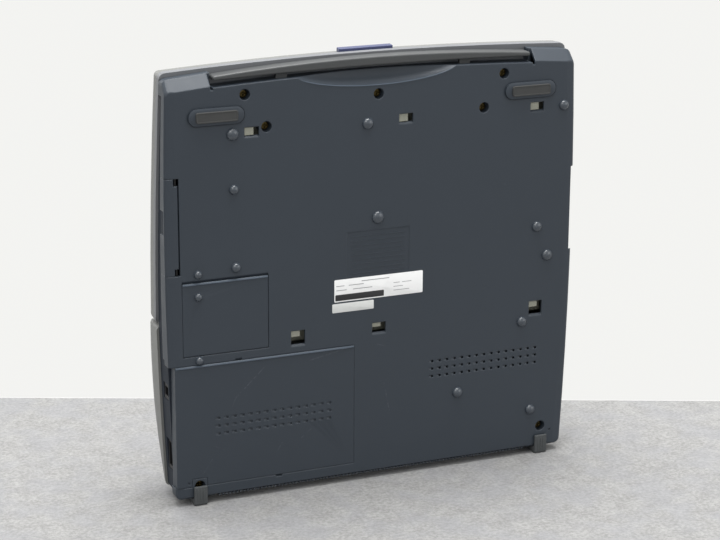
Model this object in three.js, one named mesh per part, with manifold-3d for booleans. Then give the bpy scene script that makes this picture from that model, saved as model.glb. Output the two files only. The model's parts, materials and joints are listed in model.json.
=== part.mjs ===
// Portable electronic word processor with a built-in printer, stood on its rear edge with the lid shut.
// Millimetres. x: machine's right, y: height above the underside (the lid is at +y), z: up, towards the handle.
import * as THREE from "three";
import { mergeVertices } from "three/addons/utils/BufferGeometryUtils.js";
import Module from "manifold-3d";

const wasm = await Module();
wasm.setup();

// Driving dimensions
const gap = 0.3; // between pieces that touch
const slack = 1; // round pieces that move past each other
const wall = 2.5; // casing and cover walls
const overrun = 4; // how far a cutting tool runs past what it cuts
const halfRear = 184.3; // half width of the casing at its rear edge
const halfFront = 187; // half width at the front edge
const sideBulge = 4.2; // how far the sides bow out between them
const footDrop = 6; // the stand feet below the rear face
const printerDepth = 154; // rear face to the lid's hinge line
const deckDepth = 211; // hinge line to the corner blocks' front
const frontArc = 9; // how far the front edge bows out at its middle
const cornerRadius = 5;
const deckRise = 33; // height of the deck at the hinge line
const deckFrontRise = 18; // height of the deck at the front
const partingFront = 9.5; // height of the tub's side wall near the front
const partingRear = 16; // and just ahead of the printer section
const partingPrinter = 12; // and beside the printer section
const printerRise = 64; // highest point of the printer cover
const lidThick = 23.5; // lid at the hinge end
const lidFrontThick = 21.5; // lid at the front edge

const rearZ = footDrop;
const hingeZ = rearZ + printerDepth;
const frontZ = hingeZ + deckDepth;
const halfMid = (halfRear + halfFront) / 2 + sideBulge;
const bodyLength = frontZ - rearZ;
const slope = (deckRise - deckFrontRise) / deckDepth;

// Smoothness
const sideSteps = 8;
const cornerSteps = 3;
const frontSteps = 5;
const roundSides = 14;
const smallSides = 8;

// Height of the deck, which falls towards the front, and of the tub's side wall, which falls with it
const deckY = (z) => deckRise - (z - hingeZ) * slope;
const partingStep = 28; // hinge line back to the step in the parting line
const partingStepZ = hingeZ - partingStep;
const partingSlope = (partingRear - partingFront) / (frontZ - partingStepZ);
const partingY = (z) => partingRear - (z - partingStepZ) * partingSlope;

// Half width of the casing along its length
function bodyHalf(z) {
  const t = (z - rearZ) / bodyLength;
  return halfRear + (halfFront - halfRear) * t + 4 * sideBulge * t * (1 - t);
}

// Least half width between two places along it
const halfWithin = ([z0, z1]) => Math.min(bodyHalf(z0), bodyHalf(z1));

// Solids
function asSolid(shape) {
  if (shape instanceof wasm.Manifold) return shape;
  const bare = shape.clone();
  bare.deleteAttribute("normal");
  bare.deleteAttribute("uv");
  const merged = mergeVertices(bare, 1e-4);
  const triVerts = new Uint32Array(merged.index.array);
  const vertProperties = merged.attributes.position.array;
  return new wasm.Manifold(new wasm.Mesh({ numProp: 3, vertProperties, triVerts }));
}

const join = (...shapes) => shapes.map(asSolid).reduce((a, b) => a.add(b));
const cut = (first, ...tools) => tools.map(asSolid).reduce((a, b) => a.subtract(b), asSolid(first));
const common = (...shapes) => shapes.map(asSolid).reduce((a, b) => a.intersect(b));

function asGeometry(shape) {
  if (!(shape instanceof wasm.Manifold)) return shape;
  const mesh = shape.getMesh();
  const geometry = new THREE.BufferGeometry();
  geometry.setAttribute("position", new THREE.BufferAttribute(mesh.vertProperties.slice(), 3));
  geometry.setIndex(new THREE.BufferAttribute(mesh.triVerts.slice(), 1));
  geometry.computeVertexNormals();
  return geometry;
}

// Box between two limits on each axis
function block([x0, x1], [y0, y1], [z0, z1]) {
  const box = new THREE.BoxGeometry(x1 - x0, y1 - y0, z1 - z0);
  return box.translate((x0 + x1) / 2, (y0 + y1) / 2, (z0 + z1) / 2);
}

const shapeOf = (points) => new THREE.Shape(points.map(([a, b]) => new THREE.Vector2(a, b)));

// Plan outline of (x, z) points, extruded in height
function sheet(points, [y0, y1]) {
  const options = { depth: y1 - y0, bevelEnabled: false };
  return new THREE.ExtrudeGeometry(shapeOf(points), options).rotateX(Math.PI / 2).translate(0, y1, 0);
}

// Side profile of (z, y) points, extruded in width
function section(points, [x0, x1]) {
  const options = { depth: x1 - x0, bevelEnabled: false };
  return new THREE.ExtrudeGeometry(shapeOf(points), options).rotateY(-Math.PI / 2).translate(x1, 0, 0);
}

// End profile of (x, y) points, extruded in length
function frontal(points, [z0, z1]) {
  const options = { depth: z1 - z0, bevelEnabled: false };
  return new THREE.ExtrudeGeometry(shapeOf(points), options).translate(0, 0, z0);
}

// Round bars along each axis
function barX([x0, x1], y, z, radius, sides = roundSides) {
  const bar = new THREE.CylinderGeometry(radius, radius, x1 - x0, sides).rotateZ(Math.PI / 2);
  return bar.translate((x0 + x1) / 2, y, z);
}

function barY(x, [y0, y1], z, radius, sides = roundSides) {
  return new THREE.CylinderGeometry(radius, radius, y1 - y0, sides).translate(x, (y0 + y1) / 2, z);
}

function barZ(x, y, [z0, z1], radius, sides = roundSides) {
  const bar = new THREE.CylinderGeometry(radius, radius, z1 - z0, sides).rotateX(Math.PI / 2);
  return bar.translate(x, y, (z0 + z1) / 2);
}

// Outline of a casing seen from above, symmetrical about x = 0, drawn in by an inset on each side
function planRing(plan, { side = 0, front = 0, rear = 0 }) {
  const back = plan.rear + rear;
  const rearRadius = Math.max(plan.rearRadius - side, plan.rearRadius / 4);
  const frontRadius = Math.max(plan.frontRadius - side, plan.frontRadius / 4);
  const half = (z) => plan.half(z) - side;
  const edge = (x) => plan.front - front + plan.arc * (1 - (x / plan.half(plan.front)) ** 2);
  const right = [];
  const rearCentre = back + rearRadius;
  for (let i = 0; i <= cornerSteps; i++) {
    const a = ((i / cornerSteps - 1) * Math.PI) / 2;
    right.push([half(rearCentre) - rearRadius * (1 - Math.cos(a)), rearCentre + rearRadius * Math.sin(a)]);
  }
  const cornerX = half(plan.front) - frontRadius;
  const frontCentre = edge(cornerX) - frontRadius;
  for (let i = 1; i < sideSteps; i++) {
    const z = rearCentre + ((frontCentre - rearCentre) * i) / sideSteps;
    right.push([half(z), z]);
  }
  for (let i = 0; i <= cornerSteps; i++) {
    const a = ((i / cornerSteps) * Math.PI) / 2;
    const x = half(frontCentre) - frontRadius * (1 - Math.cos(a));
    right.push([x, frontCentre + frontRadius * Math.sin(a)]);
  }
  const lastX = half(frontCentre) - frontRadius;
  for (let i = 1; i <= frontSteps; i++) {
    const x = lastX * (1 - i / frontSteps);
    right.push([x, edge(x)]);
  }
  const left = right.slice(0, -1).reverse();
  return [...right, ...left.map(([x, z]) => [-x, z])];
}

// Body through a stack of such outlines; each level's height is a number or a function of z
function loft(plan, levels) {
  const rings = levels.map((level) => planRing(plan, level));
  const count = rings[0].length;
  const middle = (count - 1) / 2;
  const positions = [];
  rings.forEach((ring, k) => {
    const { y } = levels[k];
    for (const [x, z] of ring) positions.push(x, typeof y === "function" ? y(z) : y, z);
  });
  const index = [];
  for (let k = 0; k + 1 < rings.length; k++) {
    for (let i = 0; i < count; i++) {
      const a = k * count + i;
      const b = k * count + ((i + 1) % count);
      index.push(a, a + count, b + count, a, b + count, b);
    }
  }
  const last = (rings.length - 1) * count;
  for (let i = 0; i < middle; i++) {
    const [r0, r1, l1, l0] = [i, i + 1, count - 2 - i, count - 1 - i];
    index.push(r0, r1, l0, last + r0, last + l0, last + r1);
    if (r1 === l1) continue;
    index.push(r1, l1, l0, last + r1, last + l0, last + l1);
  }
  const geometry = new THREE.BufferGeometry();
  geometry.setAttribute("position", new THREE.Float32BufferAttribute(positions, 3));
  geometry.setIndex(index);
  return geometry;
}

// Materials
const finish = (color, roughness, metalness = 0) =>
  new THREE.MeshStandardMaterial({ color, roughness, metalness, flatShading: true });
const tubPlastic = () => finish(0x3e444c, 0.6);
const deckPlastic = () => finish(0x34383e, 0.6);
const lidPlastic = () => finish(0x94968f, 0.55);
const bezelPlastic = () => finish(0x565a60, 0.6);
const keyPlastic = () => finish(0xb9bab2, 0.6);
const beigePlastic = () => finish(0xbebea8, 0.6);
const bluePlastic = () => finish(0x2e3566, 0.45);
const gripPlastic = () => finish(0x464b4e, 0.55);
const blackPlastic = () => finish(0x17181a, 0.6);
const padRubber = () => finish(0x5f5c58, 0.9);
const footRubber = () => finish(0x505555, 0.85);
const brass = () => finish(0xb39a4e, 0.35, 1);
const steel = () => finish(0xa8abb0, 0.35, 1);
const circuitBoard = () => finish(0x2f5a3c, 0.6);
const glassPanel = () => finish(0x262b2a, 0.15);

const machine = new THREE.Group();
const tilt = new THREE.Group(); // the deck's own frame: y out of the deck, z along it from the hinge line
tilt.rotation.x = Math.atan(slope);
tilt.position.set(0, deckRise, hingeZ);
tilt.updateMatrix();
machine.add(tilt);
const tilted = (geometry) => geometry.applyMatrix4(tilt.matrix);

function piece(name, shape, material, group = machine) {
  const mesh = new THREE.Mesh(asGeometry(shape), material);
  mesh.name = name;
  group.add(mesh);
  return mesh;
}

// Places on the underside, as shares of its half width and length
const at = (xShare, zShare) => [xShare * halfMid, rearZ + zShare * bodyLength];

// Underside: tub, its edge and the handle recess
const casingPlan = {
  rear: rearZ,
  front: frontZ,
  arc: frontArc,
  half: bodyHalf,
  rearRadius: cornerRadius,
  frontRadius: cornerRadius,
};
const stripWide = 6.5; // shallow bevel along each side edge
const stripDeep = 0.8;
const edgeBevel = 1.5;
const facet = 9.5; // slope on the corner blocks' front
const rearBevel = 2;
const blockWide = 41; // corner blocks, either side of the handle
const blockDeep = 13;
const recessHalf = halfFront - blockWide; // half width of the handle recess
const recessArc = 4;
const recessDepth = 7.5; // corner blocks' front to the recess at its ends
const shellTop = deckRise + overrun;

const recessZ = (x) => frontZ - recessDepth + recessArc * (1 - (x / recessHalf) ** 2);

// Region ahead of an arc parallel to the handle recess, between two heights
function aheadOfRecess(back, half, heights) {
  const points = [];
  for (let i = 0; i <= 2 * frontSteps; i++) {
    const x = half * (i / frontSteps - 1);
    points.push([x, recessZ(Math.max(-recessHalf, Math.min(recessHalf, x))) - back]);
  }
  const beyond = frontZ + frontArc + overrun;
  points.push([half, beyond], [-half, beyond]);
  return sheet(points, heights);
}

const tubLevels = [
  { side: stripWide + edgeBevel, front: facet, rear: rearBevel, y: 0 },
  { side: edgeBevel, front: facet - stripDeep, rear: rearBevel - stripDeep, y: stripDeep },
  { side: 0, front: facet - stripDeep - edgeBevel, rear: 0, y: stripDeep + edgeBevel },
  { side: 0, front: 0, rear: 0, y: facet },
  { side: 0, front: 0, rear: 0, y: shellTop },
];
const tubInside = { side: wall, front: wall, rear: wall };
const insideLevels = [
  { side: stripWide + wall, front: facet + wall / 2, rear: rearBevel + wall, y: wall },
  { side: wall, front: facet - wall / 2, rear: wall, y: 2 * wall },
  { side: wall, front: wall, rear: wall, y: facet + wall },
  { ...tubInside, y: shellTop + overrun },
];

// What the tub keeps: up to the deck ahead of the lid's front corners, lower along the sides
const blockZ = frontZ - blockDeep; // the corner blocks start here
function tubProfile() {
  return section(
    [
      [rearZ - overrun, -overrun],
      [rearZ - overrun, partingPrinter],
      [partingStepZ - slack, partingPrinter],
      [partingStepZ - slack, partingY(partingStepZ)],
      [blockZ, partingY(blockZ)],
      [blockZ, deckY(blockZ) - gap],
      [frontZ + frontArc + overrun, deckY(frontZ + frontArc + overrun) - gap],
      [frontZ + frontArc + overrun, -overrun],
    ],
    [-halfMid - overrun, halfMid + overrun],
  );
}

// Covers in the underside
const coverThick = wall - gap;
const ledge = 2; // rim that each cover rests on
const ledgeThick = 1.5;

// Flat rectangle in the left side of the underside: its edge in from the side, its rear edge, its size
function coverPlace(edge, rear, wide, long) {
  const z = [rear, rear + long];
  const left = edge - halfWithin(z);
  return { x: [left, left + wide], z };
}

const smallEdge = 13.1;
const smallBack = 25.3; // its rear edge behind the hinge line
const smallWide = 76.4;
const smallLong = 64.5;
const smallCover = coverPlace(smallEdge, hingeZ - smallBack, smallWide, smallLong);
const powerEdge = 1.07;
const powerIn = 11; // its rear edge in from the casing's
const powerWide = 163.1;
const powerLong = 109.5;
const powerCover = coverPlace(powerEdge, rearZ + powerIn, powerWide, powerLong);
const powerWallRise = partingPrinter - gap;
const footInset = 20.9; // stand feet in from the rear corners
const footX = halfRear - footInset;
const leftScrewIn = 11.3; // rear edge to each rear screw
const rightScrewIn = 19.8;
const leftScrewZ = rearZ + leftScrewIn;
const bossRadius = 6.5;
const bossRise = 10;
const boreRadius = 4.75;
const boreDepth = 7;
const shankRadius = 1.5;
const headRadius = 3.7;
const headThick = 2.3;
const shankRoom = 3; // the hole runs on past the screw's tip

const grow = ([a, b], by) => [a - by, b + by];

// Chassis plate inside the base: it takes the inner screws, and its claws show in windows in the underside
const chassisBack = 26; // hinge line to its rear edge
const chassisFront = 41; // front edge to its own
const chassisInset = 23.4;
const chassisZ = [hingeZ - chassisBack, frontZ - chassisFront];
const chassisHalf = halfWithin(chassisZ) - chassisInset;

// Screws: node name and place
const frontScrewInset = 27.3; // from the recess' ends
const frontScrewBack = 15; // front edge to each row of screws
const innerScrewBack = 43.5;
const middleScrewBack = 23.5;
const middleScrewX = 1;
const innerScrewShare = 0.606; // of the chassis plate's half width
const frontScrewX = recessHalf - frontScrewInset;
const innerScrewX = innerScrewShare * chassisHalf;
const screwPlaces = [
  ["case_screw_front_left", -frontScrewX, frontZ - frontScrewBack],
  ["case_screw_front_right", frontScrewX, frontZ - frontScrewBack],
  ["case_screw_inner_left", -innerScrewX, frontZ - innerScrewBack],
  ["case_screw_inner_right", innerScrewX, frontZ - innerScrewBack],
  ["case_screw_middle", middleScrewX, frontZ - middleScrewBack],
  ["case_screw_rear_left", -footX, leftScrewZ],
  ["case_screw_rear_right", footX, rearZ + rightScrewIn],
];

// Windows over the chassis claws: place across the chassis as a share of its half width, place along it, length
const windowWide = 13;
const frontWindowLong = 7.2;
const rearWindowLong = 12.4;
const middleWindowLong = 9;
const frontWindowBack = 46.2;
const rearWindowBack = 19.8;
const frontWindowZ = frontZ - frontWindowBack;
const rearWindowZ = hingeZ - rearWindowBack;
const windowShares = [
  [-0.685, frontWindowZ, frontWindowLong],
  [0.161, frontWindowZ, frontWindowLong],
  [0.918, frontWindowZ, frontWindowLong],
  [-0.441, rearWindowZ, rearWindowLong],
  [0.016, rearWindowZ, middleWindowLong],
  [0.94, rearWindowZ, rearWindowLong],
];
const windowPlaces = windowShares.map(([share, z, long]) => [share * chassisHalf, z, windowWide, long]);

// Domes on the underside: shares of half width, length and usual diameter
const domeRise = 2.8;
const domeWide = 10;
const domeShares = [
  [-0.684, 0.87, 1.05],
  [-0.681, 0.741, 0.85],
  [-0.047, 0.867, 1],
  [0.005, 0.64, 1.1],
  [0.935, 0.87, 0.9],
  [0.813, 0.574, 0.95],
  [0.869, 0.499, 1],
  [-0.676, 0.556, 0.85],
  [0.747, 0.335, 0.95],
  [0.417, 0.174, 0.95],
  [0.803, 0.102, 0.9],
];
const edgeDome = 7.2; // the small domes beside the covers
const edgeDomeIn = 14; // and their place in from the small cover's left edge
const edgeDomeX = smallCover.x[0] + edgeDomeIn;
const coverDomeShare = 1.7; // small cover's edge to its own dome, in diameters

// Convex dome standing out of the underside
function dome(x, z, diameter) {
  const radius = diameter / 2;
  const steps = 3;
  const profile = [[0, -domeRise]];
  for (let i = 1; i <= steps; i++) {
    const a = ((i / steps) * Math.PI) / 2;
    profile.push([radius * Math.sin(a), -domeRise * Math.cos(a)]);
  }
  profile.push([radius, wall / 2], [0, wall / 2]);
  const points = profile.map(([r, y]) => new THREE.Vector2(r, y));
  return new THREE.LatheGeometry(points, roundSides).translate(x, 0, z);
}

// Rubber pads' mounds
const padHalf = 18.2;
const padDeep = 9;
const moundHalf = 24.5;
const moundDeep = 15;
const moundRise = 1;
const moundEdge = 2.5; // width of its sloping edge
const padInset = 2; // from the recess' ends
const padBack = 31; // front edge to the pads
const padX = recessHalf - padInset;
const padZ = frontZ - padBack;
const padThick = 3;

function mound(x) {
  const top = block(grow([x - moundHalf, x + moundHalf], -moundEdge), [-moundRise, wall / 2],
    grow([padZ - moundDeep / 2, padZ + moundDeep / 2], -moundEdge));
  const position = top.attributes.position;
  for (let i = 0; i < position.count; i++) {
    if (position.getY(i) < 0) continue;
    position.setX(i, position.getX(i) + Math.sign(position.getX(i) - x) * moundEdge);
    position.setZ(i, position.getZ(i) + Math.sign(position.getZ(i) - padZ) * moundEdge);
  }
  return top;
}

// Vent grids
const ventColumns = 15;
const ventRows = 3;
const ventPitch = 7.28;
const ventRowPitch = 7;
const ventWide = 4.2;
const ventTall = 2.2;
const ventEdge = 29.1; // last column in from the rear corner
const ventIn = 82; // first row in from the rear edge
const ventX = halfRear - ventEdge - (ventColumns - 1) * ventPitch;
const ventZ = rearZ + ventIn;
const dimpleEdge = 37.6; // first dimple in from the power cover's edges
const dimpleIn = 45.6;
const dimpleX = powerCover.x[0] + dimpleEdge;
const dimpleZ = powerCover.z[0] + dimpleIn;
const dimpleDeep = 1.1;

function ventGrid(x, z, heights) {
  const holes = [];
  for (let row = 0; row < ventRows; row++) {
    for (let column = 0; column < ventColumns; column++) {
      const cx = x + column * ventPitch;
      const cz = z + row * ventRowPitch;
      holes.push(block(grow([cx, cx], ventWide / 2), heights, grow([cz, cz], ventTall / 2)));
    }
  }
  return holes;
}

// Rebate along the rear edge
const rebateEnd = 34.3; // rear corners to its ends
const rebateHalf = halfRear - rebateEnd;
const rebateDeep = 1.6;
const rebateRise = 5.5;

// Finger scallop under the handle
const scallopHalf = 77;
const scallopDeep = 16;
const scallopRise = 12.5;
const scallopDrop = 1;

function scallop(extra) {
  const ball = new THREE.SphereGeometry(1, 24, 12);
  ball.scale(scallopHalf + extra, scallopRise + extra, scallopDeep + extra);
  return ball.translate(0, -scallopDrop, frontZ);
}

// Port door on the left, with its rolled hinge edge
const doorStart = 47; // hinge line to the door
const doorLong = 83;
const doorDeep = 11.8; // the side to the door's inner edge
const doorZ = [hingeZ + doorStart, hingeZ + doorStart + doorLong];
const doorEdgeX = doorDeep - halfWithin(doorZ);
const doorRoll = 2.2;
const doorPinRadius = 0.8;
const doorNotch = 6;
const doorHingeX = doorEdgeX - doorRoll;
const doorGripEnd = 27.5; // door's front end to the finger recess in its side
const doorGripLong = 21;
const doorGripZ = [doorZ[1] - doorGripEnd - doorGripLong, doorZ[1] - doorGripEnd];

// Floppy drive in the right side
const driveShare = 0.3412; // its middle along the deck
const driveLong = 96;
const driveThick = 11.5;
const driveDeep = 124.4;
const driveLift = 0.4; // above the tub's floor
const driveRecess = 3.07; // its face in from the side
const driveMiddle = hingeZ + driveShare * deckDepth;
const driveZ = grow([driveMiddle, driveMiddle], driveLong / 2);
const driveY = [wall + driveLift, wall + driveLift + driveThick];
const driveFaceX = halfWithin(driveZ) - driveRecess;
const driveX = [driveFaceX - driveDeep, driveFaceX];
const thumbStart = 7; // thumb recess in from the drive's ends
const thumbEnd = 12.5;
const thumbStep = 0.6; // and outside its face
const thumbZ = [driveZ[0] + thumbStart, driveZ[1] - thumbEnd];
const thumbX = driveFaceX + thumbStep;

// Handle
const gripDrop = 1.5; // deck's front edge to the grip
const gripY = [3, deckFrontRise - gripDrop];
const gripGap = 3.8; // recess to the grip at the middle
const gripHalf = recessHalf - slack;
const armHalf = 5; // half width of each sliding arm
const armInside = 16; // inner screws to the arms
const armX = innerScrewX - armInside;
const armY = [7, 10];
const armLength = 59;
const handleTravel = 25;
const stopWide = 3.5;
const stopLong = 4;
const guideLong = 10;
const guideThick = 1.7;

function armSlot(side, extra) {
  const x = side * armX;
  const half = armHalf + extra;
  return block([x - half, x + half], grow(armY, extra), [frontZ - recessDepth - 2 * overrun, frontZ + overrun]);
}

const armEndZ = recessZ(armX) + gripGap - armLength;
const guideZ = armEndZ + stopLong + handleTravel + slack / 2;

function armGuides(side) {
  return [-1, 1].map((edge) => {
    const inner = side * armX + edge * (armHalf + slack);
    const outer = inner + edge * guideThick;
    return block([Math.min(inner, outer), Math.max(inner, outer)], [wall / 2, armY[1] + slack],
      [guideZ, guideZ + guideLong]);
  });
}

// Rim on the inside of the floor that a cover rests on
function coverLedge({ x, z }, from = x[0] - ledge) {
  const inner = block(grow(x, -ledge), [-overrun, deckRise], grow(z, -ledge));
  return cut(block([from, x[1] + ledge], [wall / 2, wall + ledgeThick], grow(z, ledge)), inner);
}

// The rear left screw boss stands in a notch of the power cover
const notch = { x: grow([-footX - bossRadius, -footX + bossRadius], gap), z: leftScrewZ + bossRadius + gap };
const powerSide = powerCover.x[0] + stripWide; // the tub is open down its side as far in as this

function powerOpening() {
  const { x, z } = powerCover;
  const floor = block([-halfMid - overrun, x[1] + gap], [-overrun, wall], grow(z, gap));
  const side = block([-halfMid - overrun, powerSide], [-overrun, partingPrinter + overrun], grow(z, gap));
  const kept = block(grow(notch.x, -gap), [-2 * overrun, shellTop], [z[0] - overrun, notch.z - gap]);
  return cut(join(floor, side), kept);
}

function doorOpening() {
  return block([-halfMid - overrun, doorEdgeX + gap], [-overrun, shellTop], grow(doorZ, gap));
}

const doorLug = 6;

// Small hollows in the underside
const panelX = [-27.5, 30.8]; // shallow bare panel
const panelStart = 26.5; // hinge line to the panel
const panelLong = 42.2;
const panelZ = [hingeZ + panelStart, hingeZ + panelStart + panelLong];
const panelDeep = 0.5;
const grooveDeep = 0.8;
const grooveTall = 1.8;
const pryHalf = 3; // notches for prising the covers off
const pryDeep = 1.1;
const pryTall = 2;
const rearPryIn = 92.6; // power cover's left edge to the notch in each of its long edges
const frontPryIn = 56.8;
const pryPlaces = [
  [powerCover.x[0] + rearPryIn, powerCover.z[0] - pryTall],
  [powerCover.x[0] + frontPryIn, powerCover.z[1]],
];
const pinholeRadius = 1;
const pinholeOut = 9.7; // outside the stand feet's middles
const pinholeIn = 14.8; // and in from the rear edge
const pinholeX = footX + pinholeOut;
const pinholeZ = rearZ + pinholeIn;
const windowBevel = 1.8;
const vNotch = 2.5;

function windowSill([x, z, wide, long]) {
  const edge = z - long / 2;
  const points = [
    [edge - windowBevel - overrun, -overrun],
    [edge + gap, -overrun],
    [edge + gap, windowBevel + gap],
  ];
  return section(points, [x - wide / 2, x + wide / 2]);
}

function undersideHollows() {
  const pries = pryPlaces.map(([x, z]) => block(grow([x, x], pryHalf), [-overrun, pryDeep], [z, z + pryTall]));
  const notches = [-recessHalf - vNotch, recessHalf].map((x) =>
    block([x, x + vNotch], [-overrun, facet], [frontZ - facet, frontZ + overrun]),
  );
  return [
    ...pries,
    ...notches,
    ...windowPlaces.map(windowSill),
    barY(pinholeX, [-overrun, pryDeep], pinholeZ, pinholeRadius, smallSides),
    block(panelX, [-overrun, panelDeep], panelZ),
    block(smallCover.x, [-overrun, grooveDeep], [smallCover.z[1], smallCover.z[1] + gap + grooveTall]),
  ];
}

function buildBaseCasing() {
  const recess = aheadOfRecess(0, recessHalf, [-overrun, shellTop + overrun]);
  const inside = cut(
    loft(casingPlan, insideLevels),
    aheadOfRecess(wall, recessHalf + wall, [-overrun, shellTop + 2 * overrun]),
  );
  const outer = cut(common(loft(casingPlan, tubLevels), tubProfile()), recess);
  const bosses = screwPlaces.map(([, x, z]) => barY(x, [wall / 2, bossRise], z, bossRadius));
  const backingZ = [frontZ - scallopDeep - wall, frontZ];
  const backing = common(scallop(wall), block([-halfMid, halfMid], [wall / 2, shellTop], backingZ), outer);
  const lugs = [doorZ[0] - gap - doorLug, doorZ[1] + gap].map((z) =>
    block([doorHingeX - doorRoll, doorHingeX + doorRoll], [wall / 2, 2 * doorRoll], [z, z + doorLug]),
  );
  const guides = [...armGuides(-1), ...armGuides(1)];
  const rims = [coverLedge(smallCover), coverLedge(powerCover, powerSide + ledge)];
  const betweenZ = (smallCover.z[0] + powerCover.z[1]) / 2;
  const domes = domeShares.map(([xShare, zShare, share]) => dome(...at(xShare, zShare), share * domeWide));
  domes.push(dome(edgeDomeX, betweenZ, edgeDome), dome(edgeDomeX, smallCover.z[1] + edgeDome, edgeDome));
  const mounds = [mound(-padX), mound(padX)];
  const tub = join(cut(outer, inside), backing, ...bosses, ...lugs, ...guides, ...rims, ...mounds);
  const counterbores = screwPlaces.map(([, x, z]) => barY(x, [-overrun, boreDepth], z, boreRadius));
  const shankHoles = screwPlaces.map(([, x, z]) =>
    barY(x, [-overrun, deckRise], z, shankRadius + gap, smallSides),
  );
  const windows = windowPlaces.map(([x, z, wide, long]) =>
    block([x - wide / 2, x + wide / 2], [-overrun, wall + overrun], [z - long / 2, z + long / 2]),
  );
  return cut(
    join(tub, ...domes),
    scallop(0),
    ...counterbores,
    ...shankHoles,
    ...windows,
    ...ventGrid(ventX, ventZ, [-overrun, wall + overrun]),
    block([-rebateHalf, rebateHalf], [-overrun, rebateRise], [rearZ - overrun, rearZ + rebateDeep]),
    armSlot(-1, slack / 2),
    armSlot(1, slack / 2),
    block(grow(smallCover.x, gap), [-overrun, wall], grow(smallCover.z, gap)),
    powerOpening(),
    doorOpening(),
    barZ(doorHingeX, doorRoll, grow(doorZ, doorLug), doorPinRadius + gap, smallSides),
    block([driveX[0] - gap, halfMid + overrun], [driveY[0] - gap, shellTop], grow(driveZ, gap)),
    block([thumbX, halfMid + overrun], [-overrun, driveY[0]], thumbZ),
    ...undersideHollows(),
  );
}

// Cover of the option bay: a flat plate with one dome
function buildSmallCover() {
  const plate = block(smallCover.x, [0, coverThick], smallCover.z);
  const raised = dome(edgeDomeX, smallCover.z[1] - coverDomeShare * edgeDome, edgeDome);
  return join(plate, common(raised, block([-halfMid, 0], [-domeRise - slack, coverThick / 2], smallCover.z)));
}

// Cover of the power unit: a plate that turns up the left side, with rows of dimples
function buildPowerCover() {
  const { x, z } = powerCover;
  const plate = block(x, [0, coverThick], z);
  const side = block([x[0], x[0] + coverThick], [0, powerWallRise], z);
  const room = block(notch.x, [-overrun, shellTop], [z[0] - overrun, notch.z]);
  const pinhole = barY(-pinholeX, [-overrun, pryDeep], pinholeZ, pinholeRadius, smallSides);
  return cut(join(plate, side), room, pinhole, ...ventGrid(dimpleX, dimpleZ, [-overrun, dimpleDeep]));
}

function buildPortDoor() {
  const shell = cut(loft(casingPlan, tubLevels), loft(casingPlan, insideLevels));
  const side = common(
    cut(shell, block([-halfMid - overrun, 0], [partingPrinter - gap, shellTop + overrun], [rearZ, hingeZ])),
    block([-halfMid - overrun, doorHingeX], [-overrun, shellTop], doorZ),
    tubProfile(),
  );
  const roll = barZ(doorHingeX, doorRoll, doorZ, doorRoll);
  const notches = [doorZ[0] - overrun, doorZ[1] - doorNotch].map((z) =>
    block([doorHingeX - doorRoll, doorEdgeX + overrun], [-overrun, 4 * doorRoll],
      [z, z + doorNotch + overrun]),
  );
  const middle = (doorGripZ[0] + doorGripZ[1]) / 2;
  const grip = block([-halfMid - overrun, wall / 2 - bodyHalf(middle)], [overrun, shellTop], doorGripZ);
  const bore = barZ(doorHingeX, doorRoll, grow(doorZ, overrun), doorPinRadius + gap, smallSides);
  return cut(join(side, roll), ...notches, grip, bore);
}

// Upper housing: keyboard deck, the walls behind the tub's edge and the printer section's rim
const deckInset = wall + gap;
const deckThick = 2.2;
const skirtY = 7;
const keyHalf = 144;
const keysLong = 103;
const palmRest = 73; // keyboard's opening to the deck's front
const keyV = [deckDepth - palmRest - keysLong, deckDepth - palmRest];
const wellRear = 27; // printer well: casing's rear edge and hinge line to its ends
const wellFront = 12;
const wellEdge = 13.65; // and its sides in from the casing's
const wellZ = [rearZ + wellRear, hingeZ - wellFront];
const wellHalf = halfWithin(wellZ) - wellEdge;
const deckBossRadius = 4;
const shankLength = 9;
const towerEdge = 29.5; // lid hinge's towers in from the sides
const towerWide = 12;
const towerX = [bodyHalf(hingeZ) - towerEdge - towerWide, bodyHalf(hingeZ) - towerEdge];
const towerHalf = 5;
const axisV = 6;
const axisN = 22;
const hingePinRadius = 2;
const hookHalf = 6;
const hookThick = 3;
const tongueThick = 2;
const hookBack = 28; // lid's front edge to the hook

const lidReach = 4.5; // lid's front edge past the corner blocks
const lidArc = 5.5; // and how far it bows out
const lidFrontV = deckDepth + lidReach;
const lidEdgeV = lidFrontV + lidArc;
const hookV = lidEdgeV - hookBack;

function deckLayer(inset, drop, bottom) {
  const levels = [0, shellTop + overrun].map((y) => ({ side: inset, front: inset, rear: inset, y }));
  const beyond = frontZ + frontArc + overrun;
  const far = halfMid + overrun;
  const profile = section(
    [
      [rearZ - overrun, bottom],
      [beyond, bottom],
      [beyond, deckY(beyond) - drop],
      [hingeZ, deckRise - drop],
      [rearZ - overrun, deckRise - drop],
    ],
    [-far, far],
  );
  const recess = aheadOfRecess(inset, recessHalf + inset, [-overrun, shellTop]);
  return cut(common(loft(casingPlan, levels), profile), recess);
}

// Openings in the deck's left side, with the sockets that fill them: length and height limits
const inletStart = 22; // rear edge to each opening
const inletLong = 28;
const jackStart = 86;
const jackLong = 15;
const inletZ = [rearZ + inletStart, rearZ + inletStart + inletLong];
const jackZ = [rearZ + jackStart, rearZ + jackStart + jackLong];
const socketY = [14.5, 27.5];
const socketDeep = 14;

const coverRoll = 2.6; // knuckles of the printer cover's hinge
const coverHingeY = deckRise + gap + coverRoll;
const coverSet = 1.5; // printer cover's rear edge in from the casing's
const coverRear = rearZ + coverSet;
const coverHingeZ = coverRear + coverRoll;
const lugEdge = 56.3; // its hinge lugs in from the rear corners
const lugWide = 10;
const coverLugX = [halfRear - lugEdge - lugWide, halfRear - lugEdge];
const rodRadius = 1.1;
const rodReach = 8;

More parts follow.
